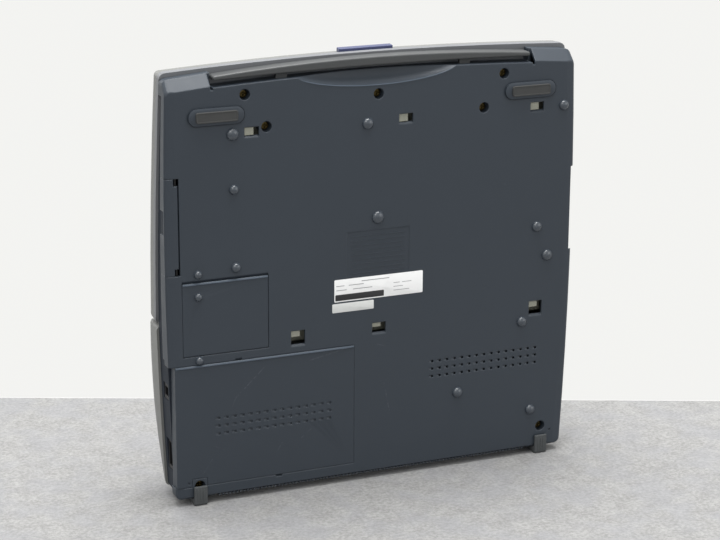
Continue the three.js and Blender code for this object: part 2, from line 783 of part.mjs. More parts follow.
// Connector block behind the port door, and the lower edge of the deck's left wall above it
const portBlockEnd = 8; // door's ends to the block's
const portInset = 4.5; // the side to its outer face
const portBlockDeep = 16.3;
const portRim = 0.9;
const portShoulder = 3;
const portHollow = 6;
const connectorY = [4.6, 10.8];
const connectorZ = grow(doorZ, -portBlockEnd);
const connectorOuter = portInset - halfWithin(doorZ);
const connectorX = [connectorOuter, connectorOuter + portBlockDeep];
const leftSkirtY = connectorY[1] + gap;

// Slide switch on the right side
const switchBack = 20; // hinge line to the slot's rear end
const switchLong = 14;
const switchZ = [hingeZ - switchBack, hingeZ - switchBack + switchLong];
const switchY = [20, 25];

function hingeTower(side) {
  const x = side > 0 ? towerX : [-towerX[1], -towerX[0]];
  const post = block(x, [-deckThick, axisN], [axisV - towerHalf, axisV + towerHalf]);
  return tilted(asGeometry(cut(join(post, barX(x, axisN, axisV, towerHalf)),
    barX(grow(x, overrun), axisN, axisV, hingePinRadius + gap, smallSides))));
}

const mirrored = (side, [a, b]) => (side > 0 ? [a, b] : [-b, -a]);

function coverLug(side) {
  const x = mirrored(side, grow(coverLugX, -2 * gap));
  const round = coverRoll - gap;
  const rear = rearZ + deckInset;
  const post = block(x, [deckRise - deckThick, coverHingeY], [rear, coverHingeZ + round]);
  const eye = cut(join(post, barX(x, coverHingeY, coverHingeZ, round)),
    barX(grow(x, overrun), coverHingeY, coverHingeZ, rodRadius + gap, smallSides));
  return eye;
}

function buildTopDeck() {
  const hollow = deckLayer(deckInset + deckThick, deckThick, skirtY - overrun);
  const shell = cut(deckLayer(deckInset, 0, skirtY), hollow);
  const bosses = screwPlaces.map(([, x, z]) =>
    barY(x, [bossRise + gap, deckY(Math.max(z, hingeZ)) - deckThick / 2], z, deckBossRadius),
  );
  const holes = screwPlaces.map(([, x, z]) =>
    barY(x, [0, bossRise + shankLength], z, shankRadius + gap, smallSides),
  );
  const room = screwPlaces.map(([, x, z]) => barY(x, [0, bossRise + gap], z, bossRadius + gap));
  const slots = [inletZ, jackZ].map((z) => block([-halfMid - overrun, -wellHalf], socketY, z));
  const keys = tilted(block([-keyHalf, keyHalf], [-skirtY, overrun], keyV));
  const hookSlot = tilted(block(grow([-hookHalf, hookHalf], slack), [-skirtY, overrun],
    grow([hookV, hookV + hookThick], 2 * slack)));
  return cut(
    join(cut(shell, ...room), ...bosses, hingeTower(-1), hingeTower(1), coverLug(-1), coverLug(1)),
    ...holes,
    ...slots,
    keys,
    hookSlot,
    block([-wellHalf, wellHalf], [skirtY - overrun, shellTop], wellZ),
    block([0, halfMid + overrun], [0, driveY[1] + gap], grow(driveZ, gap)),
    block([-halfMid - overrun, powerSide], [0, partingPrinter], grow(powerCover.z, gap)),
    block([-halfMid - overrun, -wellHalf], [0, leftSkirtY], [rearZ - overrun, blockZ + overrun]),
    block([wellHalf, halfMid + overrun], grow(switchY, gap), grow(switchZ, gap)),
    block([-halfMid - overrun, halfMid + overrun], [0, facet + wall + gap], [blockZ, frontZ + frontArc]),
    scallop(wall + gap),
    armSlot(-1, slack),
    armSlot(1, slack),
  );
}

// Lid, in the deck's own frame: y out of the deck, z from the hinge line towards the front
const lidInset = 0.8;
const lidRear = -4;
const seamN = 6.3; // bezel below, back shell above
const lidWall = 2.2;
const bezelLip = 0.4;
const lidRoll = 7; // how far its top edge is rounded in
const lidShares = [[0, 0], [0.5, 0.04], [0.76, 0.16], [0.92, 0.45], [1, 1]]; // of its height, of that
const steepShare = 0.3; // of an edge's rounding, where the end wall is steeper
const lidPlan = {
  rear: lidRear,
  front: lidFrontV,
  arc: lidArc,
  half: (v) => bodyHalf(hingeZ + v) - lidInset,
  rearRadius: 4,
  frontRadius: cornerRadius,
};
const lidTop = (v) => lidThick + ((lidFrontThick - lidThick) * v) / deckDepth;
const lidNotchX = [towerX[0] - slack / 2, towerX[1] + slack / 2];
const lidNotchV = axisV + towerHalf + slack;
const humpEdge = 6.5; // hinge humps in from the casing's sides
const humpX = [lidNotchX[1], bodyHalf(hingeZ) - humpEdge];
const pinCap = 5; // hump's outer end left solid over the hinge pin
const humpRadius = 6.5;
const humpFairing = 14;
const sweepRadius = axisN - gap; // the lid's lower rear edge clears the deck inside this

// The inside of a shell needs fewer levels than its outside
const innerShares = (shares, drop) => (drop ? shares.filter((level, i) => i % 2 === 0) : shares);

function lidLayer(drop) {
  const below = drop ? overrun : 0;
  const levels = innerShares(lidShares, drop).map(([share, inset]) => ({
    side: inset * lidRoll + drop,
    front: inset * lidRoll + slack + drop,
    rear: inset * steepShare * lidRoll + drop,
    y: (v) => (share ? seamN + share * (lidTop(v) - seamN) - drop : seamN - below),
  }));
  return loft(lidPlan, levels);
}

function hump(side) {
  const x = mirrored(side, humpX);
  const low = seamN + 2 * lidWall;
  const far = axisV + humpFairing;
  const fairing = [
    [axisV, low],
    [far, low],
    [far, lidTop(far) - slack],
    [axisV + humpRadius, axisN + 0.78 * humpRadius],
    [axisV + humpRadius / 2, axisN + 0.94 * humpRadius],
    [axisV, axisN + humpRadius],
  ];
  return join(barX(x, axisN, axisV, humpRadius, roundSides + smallSides), section(fairing, x));
}

function lidNotch(side, extra) {
  return block(grow(mirrored(side, lidNotchX), extra), [-overrun, axisN + 2 * humpRadius],
    [lidRear - 2 * overrun, lidNotchV + extra]);
}

const displayX = [-121, 121];
const displayRear = 12; // hinge line to the display
const displayFront = 25; // display to the deck's front
const displayV = [displayRear, deckDepth - displayFront];
const displayN = [2.6, 9];
const windowInset = 5; // the bezel covers this much of the panel's edges
const latchHalf = 24.7;
const latchN = [8.3, 14.7];
const latchProud = 1.8;
const latchTravel = 1.5;
const latchFlange = 2.3;
const flangeReach = 2; // beyond the button's ends, and short of its top
const latchInset = 5.2; // from the lid's edge to the flange that keeps the button in
const latchBackV = lidEdgeV - latchInset - latchFlange;

function buildDisplayBack() {
  const outer = join(lidLayer(0), hump(-1), hump(1));
  const walls = [-1, 1].map((side) => common(lidNotch(side, lidWall), lidLayer(0)));
  const humps = [-1, 1].map(hump);
  const bores = [-1, 1].map((side) =>
    barX(mirrored(side, [towerX[0], humpX[1] - pinCap]), axisN, axisV, hingePinRadius + gap, smallSides),
  );
  const latchSlot = block(grow([-latchHalf, latchHalf], gap), grow(latchN, gap),
    [latchBackV - overrun, lidEdgeV + overrun]);
  const sweep = cut(
    block([-halfMid, halfMid], [-overrun, axisN], [lidRear - overrun, axisV]),
    barX([-halfMid, halfMid], axisN, axisV, sweepRadius, 3 * roundSides),
  );
  return cut(
    join(cut(outer, lidLayer(lidWall)), ...walls, ...humps),
    block([-halfMid, halfMid], [-2 * overrun, seamN], [lidRear - overrun, lidEdgeV + overrun]),
    lidNotch(-1, 0),
    lidNotch(1, 0),
    ...bores,
    latchSlot,
    sweep,
  );
}

function buildDisplayBezel() {
  const levels = [gap, seamN - gap].map((y) => ({ side: -bezelLip, front: 0, rear: 0, y }));
  const pocketSize = { side: lidWall, front: lidWall + slack, rear: lidWall };
  const pocket = [displayN[0] - gap, seamN + overrun].map((y) => ({ ...pocketSize, y }));
  const hookSlot = block(grow([-hookHalf, hookHalf], slack), [-overrun, seamN],
    grow([hookV, hookV + hookThick], 2 * slack));
  const walls = [-1, 1].map((side) => common(lidNotch(side, lidWall), loft(lidPlan, levels)));
  const sweep = cut(
    block([-halfMid, halfMid], [-overrun, axisN], [lidRear - overrun, axisV]),
    barX([-halfMid, halfMid], axisN, axisV, sweepRadius, 3 * roundSides),
  );
  return cut(
    join(cut(loft(lidPlan, levels), loft(lidPlan, pocket)), ...walls),
    block(grow(displayX, -windowInset), [-overrun, seamN], grow(displayV, -windowInset)),
    hookSlot,
    lidNotch(-1, 0),
    lidNotch(1, 0),
    sweep,
  );
}

function buildLatchButton() {
  const front = latchBackV + latchFlange;
  const cap = block([-latchHalf, latchHalf], latchN, [front - slack, lidEdgeV + latchProud]);
  const flange = block(grow([-latchHalf, latchHalf], flangeReach), [latchN[0], latchN[1] - flangeReach],
    [latchBackV, front]);
  return join(cap, flange);
}

function buildLatchHook() {
  const tongueTop = displayN[0] + tongueThick;
  const tongue = block([-hookHalf, hookHalf], [displayN[0], tongueTop], [hookV, latchBackV - latchTravel]);
  const leg = block([-hookHalf, hookHalf], [-hookThick, tongueTop], [hookV, hookV + hookThick]);
  const tail = block([-hookHalf, hookHalf], [displayN[0], latchN[0] + slack],
    [latchBackV - hookThick - latchTravel, latchBackV - gap]);
  return join(tongue, leg, tail);
}

// Hinge pin of the lid, fixed in its tower
function hingePin(side) {
  return barX(mirrored(side, [towerX[0], humpX[1] - pinCap - slack]), axisN, axisV, hingePinRadius, smallSides);
}

// Printer cover, hinged at its rear lower edge
const coverInset = 0.6;
const coverBack = 6; // hinge line to its front edge
const coverFront = hingeZ - coverBack;
const coverSeam = deckRise + gap;
const coverRound = 7; // how far its top edge is rounded in
const coverShares = [[0, 0], [0.55, 0.08], [0.8, 0.24], [0.93, 0.5], [1, 1]]; // of its height, of that
const spineShares = [[0, 0.578], [0.09, 0.703], [0.17, 0.797], [0.32, 0.906], [0.49, 0.977], [0.66, 1],
  [0.83, 1], [1, 0.961]]; // place along the cover, share of its highest point

function coverTop(z) {
  const share = Math.min(Math.max((z - coverRear) / (coverFront - coverRear), 0), 1);
  const next = Math.max(1, spineShares.findIndex(([place]) => place >= share));
  const [[place0, rise0], [place1, rise1]] = [spineShares[next - 1], spineShares[next]];
  return printerRise * (rise0 + ((rise1 - rise0) * (share - place0)) / (place1 - place0));
}

const coverPlan = {
  rear: coverRear,
  front: coverFront,
  arc: 0,
  half: (z) => bodyHalf(z) - coverInset,
  rearRadius: cornerRadius,
  frontRadius: 4,
};

function coverLayer(drop) {
  const below = drop ? overrun : 0;
  const levels = innerShares(coverShares, drop).map(([share, inset]) => ({
    side: inset * coverRound + drop,
    front: inset * steepShare * coverRound + drop,
    rear: drop,
    y: (z) => (share ? coverSeam + share * (coverTop(z) - coverSeam) - drop : coverSeam - below),
  }));
  return loft(coverPlan, levels);
}

function buildPrinterCover() {
  const shell = cut(coverLayer(0), coverLayer(deckThick));
  const reach = [coverLugX[0] - rodReach, coverLugX[1] + rodReach];
  const knuckles = [-1, 1].map((side) => barX(mirrored(side, reach), coverHingeY, coverHingeZ, coverRoll));
  const backs = [-1, 1].map((side) =>
    block(mirrored(side, reach), [coverHingeY - coverRoll / 2, coverHingeY + coverRoll / 2],
      [coverRear, coverHingeZ]),
  );
  const rooms = [-1, 1].map((side) =>
    block(mirrored(side, coverLugX), [deckRise, coverHingeY + coverRoll + slack],
      [coverRear - overrun, coverHingeZ + coverRoll + slack]),
  );
  const sweep = cut(
    block([-halfMid, halfMid], [deckRise, coverHingeY], [coverRear - overrun, coverHingeZ]),
    barX([-halfMid, halfMid], coverHingeY, coverHingeZ, coverRoll, 2 * roundSides),
  );
  const across = grow([-reach[1], reach[1]], overrun);
  const bore = barX(across, coverHingeY, coverHingeZ, rodRadius + gap, smallSides);
  return cut(join(shell, ...knuckles, ...backs), ...rooms, sweep, bore);
}

// Handle: a crescent grip on two sliding arms
const gripInner = 0.3; // inner edge ahead of the corner blocks at the middle
const gripInnerArc = 2.6;
const gripOuter = 8;
const gripOuterArc = 6.5;
const armSocket = 5;

function buildGrip() {
  const inner = [];
  const outer = [];
  for (let i = 0; i <= 2 * frontSteps; i++) {
    const share = i / frontSteps - 1;
    inner.push([share * gripHalf, frontZ + gripInner - gripInnerArc * share ** 2]);
    outer.push([-share * gripHalf, frontZ + gripOuter - gripOuterArc * share ** 2]);
  }
  const sockets = [-1, 1].map((side) =>
    block(grow([side * armX - armHalf, side * armX + armHalf], gap), grow(armY, gap),
      [frontZ - recessDepth, armTopZ + gap]),
  );
  return cut(sheet([...inner, ...outer], gripY), ...sockets);
}

const armTopZ = frontZ + gripInner - gripInnerArc * (armX / gripHalf) ** 2 + armSocket;

function buildArm(side) {
  const x = side * armX;
  const bar = block([x - armHalf, x + armHalf], armY, [armEndZ, armTopZ]);
  const stop = block(grow([x - armHalf, x + armHalf], stopWide), armY, [armEndZ, armEndZ + stopLong]);
  return join(bar, stop);
}

const pad = (side) =>
  block(grow([side * padX, side * padX], padHalf), [-moundRise - padThick, -moundRise - gap],
    grow([padZ, padZ], padDeep / 2));

// Stand foot: a strip down the rear face that turns under the tub's edge
const footHalf = 6;
const footSkin = 2.7;
const footReach = 17.5;
const footRise = 7; // above the deck
const footTip = 2;

function standFoot(side) {
  const top = deckRise + footRise;
  const front = rearZ - gap;
  const points = [
    [footReach, -footSkin - gap],
    [footSkin / 2, -footSkin - gap],
    [0, -footSkin / 2],
    [0, top - footTip],
    [footSkin / 2, top],
    [front, top],
    [front, rearBevel],
    [front + rearBevel, -gap],
    [footReach, -gap],
  ];
  return section(points, grow([side * footX, side * footX], footHalf));
}

function caseScrew(x, z) {
  const head = barY(x, [boreDepth - gap - headThick, boreDepth - gap], z, headRadius);
  const tip = bossRise + shankLength - shankRoom;
  return join(head, barY(x, [boreDepth - gap - headThick / 2, tip], z, shankRadius, smallSides));
}

// Inside the base: chassis plate with claws in the windows, boards, drive and battery
const chassisY = [11.2, 12.7];
const clawTip = 1; // how far in from the underside the claws end
const clawShare = 0.62; // of its window's width that a claw fills
const clawStartShare = 0.05; // a rear claw starts this share of its window ahead of the middle

function claw([x, z, wide, long], isRear) {
  const left = x - wide / 2 + gap;
  const right = left + wide * clawShare;
  const low = isRear ? z + long * clawStartShare : z - long / 2 + gap;
  return block([left, right], [clawTip, chassisY[1]], [low, z + long / 2 - gap]);
}

function buildChassis() {
  const plate = block([-chassisHalf, chassisHalf], chassisY, chassisZ);
  const claws = windowPlaces.map((place) => claw(place, place[1] < hingeZ));
  const holes = screwPlaces.map(([, x, z]) => barY(x, grow(chassisY, overrun), z, deckBossRadius + gap));
  const driveRoom = block([driveX[0] - gap, halfMid], grow(chassisY, overrun), grow(driveZ, gap));
  return cut(join(cut(plate, driveRoom), ...claws), ...holes);
}

const slotY = [8.8, 13.2]; // disk slot
const slotDeep = 86;
const slotEnd = 2.2; // drive's ends to the slot's
const slotZ = grow(driveZ, -slotEnd);
const ejectEnd = 3; // drive's end to the eject button
const ejectLong = 7;
const ejectZ = [driveZ[1] - ejectEnd - ejectLong, driveZ[1] - ejectEnd];
const ejectY = [4.9, 7.9];
const ejectDeep = 9;
const ejectProud = 0.5;

function buildDrive() {
  return cut(
    block(driveX, [driveY[0], driveY[1]], driveZ),
    block([driveFaceX - slotDeep, driveFaceX + overrun], slotY, slotZ),
    block([driveFaceX - ejectDeep, driveFaceX + overrun], grow(ejectY, gap), grow(ejectZ, gap)),
  );
}

const boardClear = 7; // board to the drive
const boardStart = 10.8; // small cover to the board
const boardEnd = 6; // and the handle's arms to it
const boardX = [connectorX[1] + slack / 2, driveX[0] - boardClear];
const boardY = [6, 7.6];
const boardZ = [smallCover.z[1] + boardStart, armEndZ - boardEnd];

// Connector block: three shrouded openings on its outer face
function buildConnectors() {
  const count = 3;
  const pitch = (connectorZ[1] - connectorZ[0]) / count;
  const hollows = [];
  for (let i = 0; i < count; i++) {
    const z0 = connectorZ[0] + i * pitch;
    hollows.push(block([connectorX[0] - overrun, connectorX[0] + portHollow], grow(connectorY, -portRim),
      grow([z0, z0 + pitch], -portShoulder)));
  }
  return cut(block(connectorX, connectorY, connectorZ), ...hollows);
}

// Keyboard: a steel tray under the deck's opening, and a row of caps for each line of keys
const trayN = [-9.3, -2.5];
const trayFloor = 1.2;
const trayRim = 2; // beyond the keyboard's opening
const capTop = -1;
const webN = [-5.8, -4.8];
const keyTravel = 2;
const rowClear = 3; // keyboard opening's ends to the rows'
const rowHalf = keyHalf - rowClear;
const rowPitch = 17;
const capDeep = 15;
const capGap = 2.4;
const capTaper = 1.4;
const evenRow = (count) => Array(count).fill(1);
const keyRows = [
  ["key_row_function", evenRow(15)],
  ["key_row_number", [...evenRow(13), 2]],
  ["key_row_upper", [1.5, ...evenRow(12), 1.5]],
  ["key_row_home", [1.8, ...evenRow(11), 2.2]],
  ["key_row_lower", [2.3, ...evenRow(10), 2.7]],
  ["key_row_space", [1.5, 1.25, 1.25, 7, 1.25, 1.25, 1.5]],
];

function buildKeyTray() {
  const x = grow([-keyHalf, keyHalf], trayRim);
  const v = grow(keyV, trayRim);
  const room = block(grow(x, -trayFloor), [trayN[0] + trayFloor, overrun], grow(v, -trayFloor));
  return cut(block(x, trayN, v), room);
}

function buildKeyRow(widths, v) {
  const unit = (2 * rowHalf) / widths.reduce((sum, width) => sum + width);
  const points = [[rowHalf, webN[0]], [rowHalf, webN[1]]];
  let right = rowHalf;
  for (const width of widths) {
    const left = right - width * unit;
    const [near, far] = [right - capGap / 2, left + capGap / 2];
    points.push([near, webN[1]], [near - capTaper, capTop], [far + capTaper, capTop], [far, webN[1]]);
    right = left;
  }
  points.push([-rowHalf, webN[1]], [-rowHalf, webN[0]]);
  return frontal(points, [v, v + capDeep]);
}

// Power unit, sockets, battery and switch
const supplyLeft = 33.8; // power cover's left and right edges to the unit
const supplyRight = 9.3;
const supplyRoom = 7; // and its rear edge
const supplyFront = 14.5; // unit to the chassis
const supplyX = [powerCover.x[0] + supplyLeft, powerCover.x[1] - supplyRight];
const supplyY = [3, 27];
const supplyZ = [powerCover.z[0] + supplyRoom, chassisZ[0] - supplyFront];
const batteryIn = 16; // small cover's left edge to the battery
const batteryStart = 10.3; // and its rear edge
const batteryWide = 45;
const batteryX = [smallCover.x[0] + batteryIn, smallCover.x[0] + batteryIn + batteryWide];
const batteryY = [3.2, 10];
const batteryZ = [smallCover.z[0] + batteryStart, smallCover.z[0] + batteryStart + batteryWide];

// Socket block behind an opening in the deck's side, with a recess and, for mains, two pins
const socketRim = 2; // above and below the recess
const socketShoulder = 3.5; // at its ends
const socketRecess = 7;
const prongLong = 3;
const prongRadius = 1;
const prongOff = 4; // from the socket's middle
const mainsProngs = [-prongOff, prongOff];

function buildSocket(z, prongs) {
  const outer = deckInset + slack / 2 - halfWithin(z);
  const floor = outer + socketRecess;
  const body = cut(
    block([outer, outer + socketDeep], grow(socketY, -gap), grow(z, -gap)),
    block([outer - overrun, floor], grow(socketY, -socketRim), grow(z, -socketShoulder)),
  );
  const middle = (z[0] + z[1]) / 2;
  const height = (socketY[0] + socketY[1]) / 2;
  return join(body, ...prongs.map((offset) =>
    barX([floor - prongLong, floor + slack], height, middle + offset, prongRadius, smallSides),
  ));
}

const switchTravel = 6;
const switchFlange = 1.5; // its thickness and its reach
const switchProud = 1.4;

function buildPowerSwitch() {
  const face = halfWithin(switchZ) - deckInset;
  const inner = face - deckThick - slack;
  const z = [switchZ[0], switchZ[1] - switchTravel];
  const knob = block([inner - slack, face + switchProud], grow(switchY, -gap), grow(z, -gap));
  const flange = block([inner - switchFlange, inner], grow(switchY, switchFlange), grow(z, switchFlange));
  return join(knob, flange);
}

// Printer
const frameY = [29, 30.5];
const frameStart = 24.5; // casing's rear edge and hinge line to the frame's ends
const frameEnd = 10;
const frameClear = 4.53; // the deck's wall to the frame
const frameZ = [rearZ + frameStart, hingeZ - frameEnd];
const frameHalf = halfWithin(frameZ) - deckInset - deckThick - frameClear;
const cheekIn = 9.5; // frame's sides to the upright cheeks
const cheekThick = 1.5;
const cheekX = [frameHalf - cheekIn - cheekThick, frameHalf - cheekIn];
const cheekStart = 34;
const cheekEnd = 18;
const cheekZ = [rearZ + cheekStart, hingeZ - cheekEnd];
const cheekTop = 56;
const cheekRun = 35; // slope at the cheeks' rear
const cheekFall = 11;
const railBack = 32; // hinge line to the carriage's rail
const railZ = hingeZ - railBack;
const railY = 46;
const railRadius = 4;
const platenBack = 60; // and to the platen
const platenZ = hingeZ - platenBack;
const platenY = 46;
const platenRadius = 9;
const platenRoom = 15; // cheeks to the platen's ends
const platenHalf = cheekX[0] - platenRoom;
const platenShaft = 3;
const shaftEnd = 2; // beyond the left cheek
const gearClear = 0.7;
const gearWide = 4.3;
const gearX = [cheekX[1] + gearClear, cheekX[1] + gearClear + gearWide];
const gearModule = 1.1;
const platenTeeth = 24;
const idlerTeeth = 20;
const pinionTeeth = 10;
const idlerShaft = 2;
const pinionShaft = 1.5;
const toothShares = [[-0.3, -1.2], [-0.11, 0.9], [0.11, 0.9], [0.3, -1.2]]; // of the pitch, of the module

const gearRadius = (teeth) => (gearModule * teeth) / 2;
const idlerTurn = Math.PI + 0.17; // direction from the platen's axis to the idler's
const idlerApart = gearRadius(platenTeeth) + gearRadius(idlerTeeth) + gap;
const idlerZ = platenZ + idlerApart * Math.cos(idlerTurn);
const idlerY = platenY + idlerApart * Math.sin(idlerTurn);
const pinionTurn = Math.PI - 0.05;
const pinionApart = gearRadius(idlerTeeth) + gearRadius(pinionTeeth) + gap;
const pinionZ = idlerZ + pinionApart * Math.cos(pinionTurn);
const pinionY = idlerY + pinionApart * Math.sin(pinionTurn);

// Phase that lets a second gear mesh with a first one, whose axis it lies from at the given angle
const meshPhase = (phase, teeth, angle, otherTeeth) =>
  angle + Math.PI - ((phase - angle) * teeth) / otherTeeth + Math.PI / otherTeeth;
const platenPhase = 0;
const idlerPhase = meshPhase(platenPhase, platenTeeth, idlerTurn, idlerTeeth);
const pinionPhase = meshPhase(idlerPhase, idlerTeeth, pinionTurn, pinionTeeth);

function gear(teeth, z, y, phase) {
  const pitch = (2 * Math.PI) / teeth;
  const points = [];
  for (let i = 0; i < teeth; i++) {
    for (const [turn, reach] of toothShares) {
      const angle = phase + (i + turn) * pitch;
      const radius = gearRadius(teeth) + reach * gearModule;
      points.push([z + radius * Math.cos(angle), y + radius * Math.sin(angle)]);
    }
  }
  return section(points, gearX);
}

function buildPrinterFrame() {
  const plate = block([-frameHalf, frameHalf], frameY, frameZ);
  const cheeks = [-1, 1].map((side) =>
    section(
      [
        [cheekZ[0], frameY[0]],
        [cheekZ[1], frameY[0]],
        [cheekZ[1], cheekTop],
        [cheekZ[0] + cheekRun, cheekTop],
        [cheekZ[0], cheekTop - cheekFall],
      ],
      mirrored(side, cheekX),
    ),
  );
  const across = [-frameHalf, frameHalf];
  const right = [0, frameHalf];
  const idlerRoom = gearRadius(idlerTeeth) + 2 * slack;
  const shafts = [-1, 1].map((side) =>
    barY(side * pulleyX, grow(frameY, overrun), pulleyZ, pulleyShaft + gap, smallSides),
  );
  return cut(
    join(plate, ...cheeks),
    barX(across, railY, railZ, railRadius + gap),
    barX(across, platenY, platenZ, platenShaft + gap),
    barX(right, idlerY, idlerZ, idlerShaft + gap),
    barX(right, pinionY, pinionZ, pinionShaft + gap),
    block(grow(gearX, slack), grow(frameY, overrun), grow([idlerZ, idlerZ], idlerRoom)),
    ...shafts,
  );
}

const pulleyRoom = 15; // cheeks to the pulleys' middles
const pulleyBack = 27; // hinge line to them
const pulleyX = cheekX[0] - pulleyRoom;
const pulleyZ = hingeZ - pulleyBack;
const pulleyRadius = 7;
const pulleyShaft = 1.5;
const pulleyY = [34, 39];
const beltY = [34.5, 38.5];
const beltThick = 1;

function buildPulley(side) {
  const disc = barY(side * pulleyX, pulleyY, pulleyZ, pulleyRadius);
  return join(disc, barY(side * pulleyX, [frameY[0] + gap, pulleyY[1]], pulleyZ, pulleyShaft, smallSides));
}

// Belt loop round both pulleys
function beltLoop(radius) {
  const points = [];
  const steps = roundSides / 2;
  for (const side of [1, -1]) {
    for (let i = 0; i <= steps; i++) {
      const angle = (i / steps - 0.5) * Math.PI;
      points.push([side * (pulleyX + radius * Math.cos(angle)), pulleyZ + side * radius * Math.sin(angle)]);
    }
  }
  return points;
}

function buildBelt() {
  const inner = pulleyRadius + gap;
  return cut(sheet(beltLoop(inner + beltThick), beltY), sheet(beltLoop(inner), grow(beltY, overrun)));
}

const carriagePark = 10; // left pulley's middle to the parked carriage
const carriageWide = 30;
const carriageRear = 3; // platen to the carriage
const carriageFront = 20; // hinge line to it
const carriageX = [carriagePark - pulleyX, carriagePark + carriageWide - pulleyX];
const carriageY = [40, 52];
const carriageZ = [platenZ + platenRadius + carriageRear, hingeZ - carriageFront];
const cassetteOver = 7; // beyond the carriage's sides
const cassetteThick = 5.7;
const cassetteX = grow(carriageX, cassetteOver);
const cassetteY = [carriageY[1] + gap, carriageY[1] + gap + cassetteThick];

function buildCarriage() {
  const bore = barX(grow(carriageX, overrun), railY, railZ, railRadius + gap);
  return cut(block(carriageX, carriageY, carriageZ), bore);
}

const motorRadius = 10.5;
const motorLong = 18;
const motorX = [cheekX[0] - gap - motorLong, cheekX[0] - gap];
const motorLift = 0.7; // above the chassis plate
const carriageMotorY = [chassisY[1] + motorLift, frameY[0] - gap];
const carriageMotorRadius = 11;

piece("base_casing", buildBaseCasing(), tubPlastic());
piece("option_bay_cover", buildSmallCover(), tubPlastic());
piece("power_unit_cover", buildPowerCover(), tubPlastic());
piece("port_door", buildPortDoor(), tubPlastic());
const doorPin = barZ(doorHingeX, doorRoll, grow(doorZ, doorLug - gap), doorPinRadius, smallSides);
piece("port_door_pin", doorPin, steel());
piece("top_deck", buildTopDeck(), deckPlastic());
piece("display_back", buildDisplayBack(), lidPlastic(), tilt);
piece("display_bezel", buildDisplayBezel(), bezelPlastic(), tilt);
piece("lcd_panel", block(displayX, displayN, displayV), glassPanel(), tilt);
piece("latch_button", buildLatchButton(), bluePlastic(), tilt);
piece("latch_hook", buildLatchHook(), blackPlastic(), tilt);
piece("lid_hinge_pin_left", hingePin(-1), steel(), tilt);
piece("lid_hinge_pin_right", hingePin(1), steel(), tilt);
piece("printer_cover", buildPrinterCover(), lidPlastic());
const rodX = coverLugX[1] + rodReach - slack;
piece("printer_cover_rod", barX([-rodX, rodX], coverHingeY, coverHingeZ, rodRadius, smallSides), steel());
piece("handle_grip", buildGrip(), gripPlastic());
piece("handle_arm_left", buildArm(-1), gripPlastic());
piece("handle_arm_right", buildArm(1), gripPlastic());
piece("rubber_pad_left", pad(-1), padRubber());
piece("rubber_pad_right", pad(1), padRubber());
piece("stand_foot_left", standFoot(-1), footRubber());
piece("stand_foot_right", standFoot(1), footRubber());
for (const [name, x, z] of screwPlaces) piece(name, caseScrew(x, z), brass());
piece("inner_chassis", buildChassis(), beigePlastic());
piece("main_board", block(boardX, boardY, boardZ), circuitBoard());
piece("backup_battery", block(batteryX, batteryY, batteryZ), blackPlastic());
piece("io_connectors", buildConnectors(), blackPlastic());
piece("keyboard_tray", buildKeyTray(), steel(), tilt);
keyRows.forEach(([name, widths], i) => {
  piece(name, buildKeyRow(widths, keyV[0] + slack + i * rowPitch), keyPlastic(), tilt);
});
piece("floppy_drive", buildDrive(), blackPlastic());
const ejectX = [driveFaceX - ejectDeep + keyTravel + gap, driveFaceX + ejectProud];
piece("eject_button", block(ejectX, ejectY, ejectZ), bezelPlastic());
piece("power_supply", block(supplyX, supplyY, supplyZ), steel());
piece("mains_inlet", buildSocket(inletZ, mainsProngs), blackPlastic());
piece("line_jack", buildSocket(jackZ, []), blackPlastic());
piece("power_switch", buildPowerSwitch(), blackPlastic());
piece("printer_frame", buildPrinterFrame(), steel());
const railHalf = cheekX[1] + slack;
piece("guide_rail", barX([-railHalf, railHalf], railY, railZ, railRadius), steel());
const platen = barX([-platenHalf, platenHalf], platenY, platenZ, platenRadius, 2 * roundSides);
const platenEnd = gearX[1] + gap;
const shaftX = [-cheekX[1] - shaftEnd, platenEnd];
piece("platen_roller", join(platen, barX(shaftX, platenY, platenZ, platenShaft)), blackPlastic());
const platenBore = barX(grow(gearX, overrun), platenY, platenZ, platenShaft + gap);
piece("platen_gear", cut(gear(platenTeeth, platenZ, platenY, platenPhase), platenBore), keyPlastic());
const stub = (radius, z, y) => barX([cheekX[0] - gap / 2, gearX[1]], y, z, radius, smallSides);
const idlerTeethRing = gear(idlerTeeth, idlerZ, idlerY, idlerPhase);
piece("idler_gear", join(idlerTeethRing, stub(idlerShaft, idlerZ, idlerY)), keyPlastic());
const pinionTeethRing = gear(pinionTeeth, pinionZ, pinionY, pinionPhase);
piece("motor_pinion", join(pinionTeethRing, stub(pinionShaft, pinionZ, pinionY)), brass());
piece("feed_motor", barX(motorX, pinionY, pinionZ, motorRadius), steel());
piece("carriage", buildCarriage(), blackPlastic());
piece("ribbon_cassette", block(cassetteX, cassetteY, carriageZ), beigePlastic());
piece("timing_belt", buildBelt(), blackPlastic());
piece("motor_pulley", buildPulley(-1), brass());
piece("idler_pulley", buildPulley(1), brass());
piece("carriage_motor", barY(-pulleyX, carriageMotorY, pulleyZ, carriageMotorRadius), steel());

// The group stands on z = 0 with its bounding box centred on the origin
const bounds = new THREE.Box3().setFromObject(machine);
const centre = bounds.getCenter(new THREE.Vector3());
machine.position.set(-centre.x, -centre.y, -bounds.min.z);

export default machine;
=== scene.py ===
"""Looks of a portable word processor, dressed over its CAD frame and laid out as a Blender add-on."""

import json
from functools import cache
from math import atan, cos, pi, radians, sin

import bmesh
import bpy
from bpy.props import FloatProperty, FloatVectorProperty, IntProperty, PointerProperty
from bpy.types import Operator, Panel, PropertyGroup
from mathutils import Matrix, Vector
from mathutils.bvhtree import BVHTree

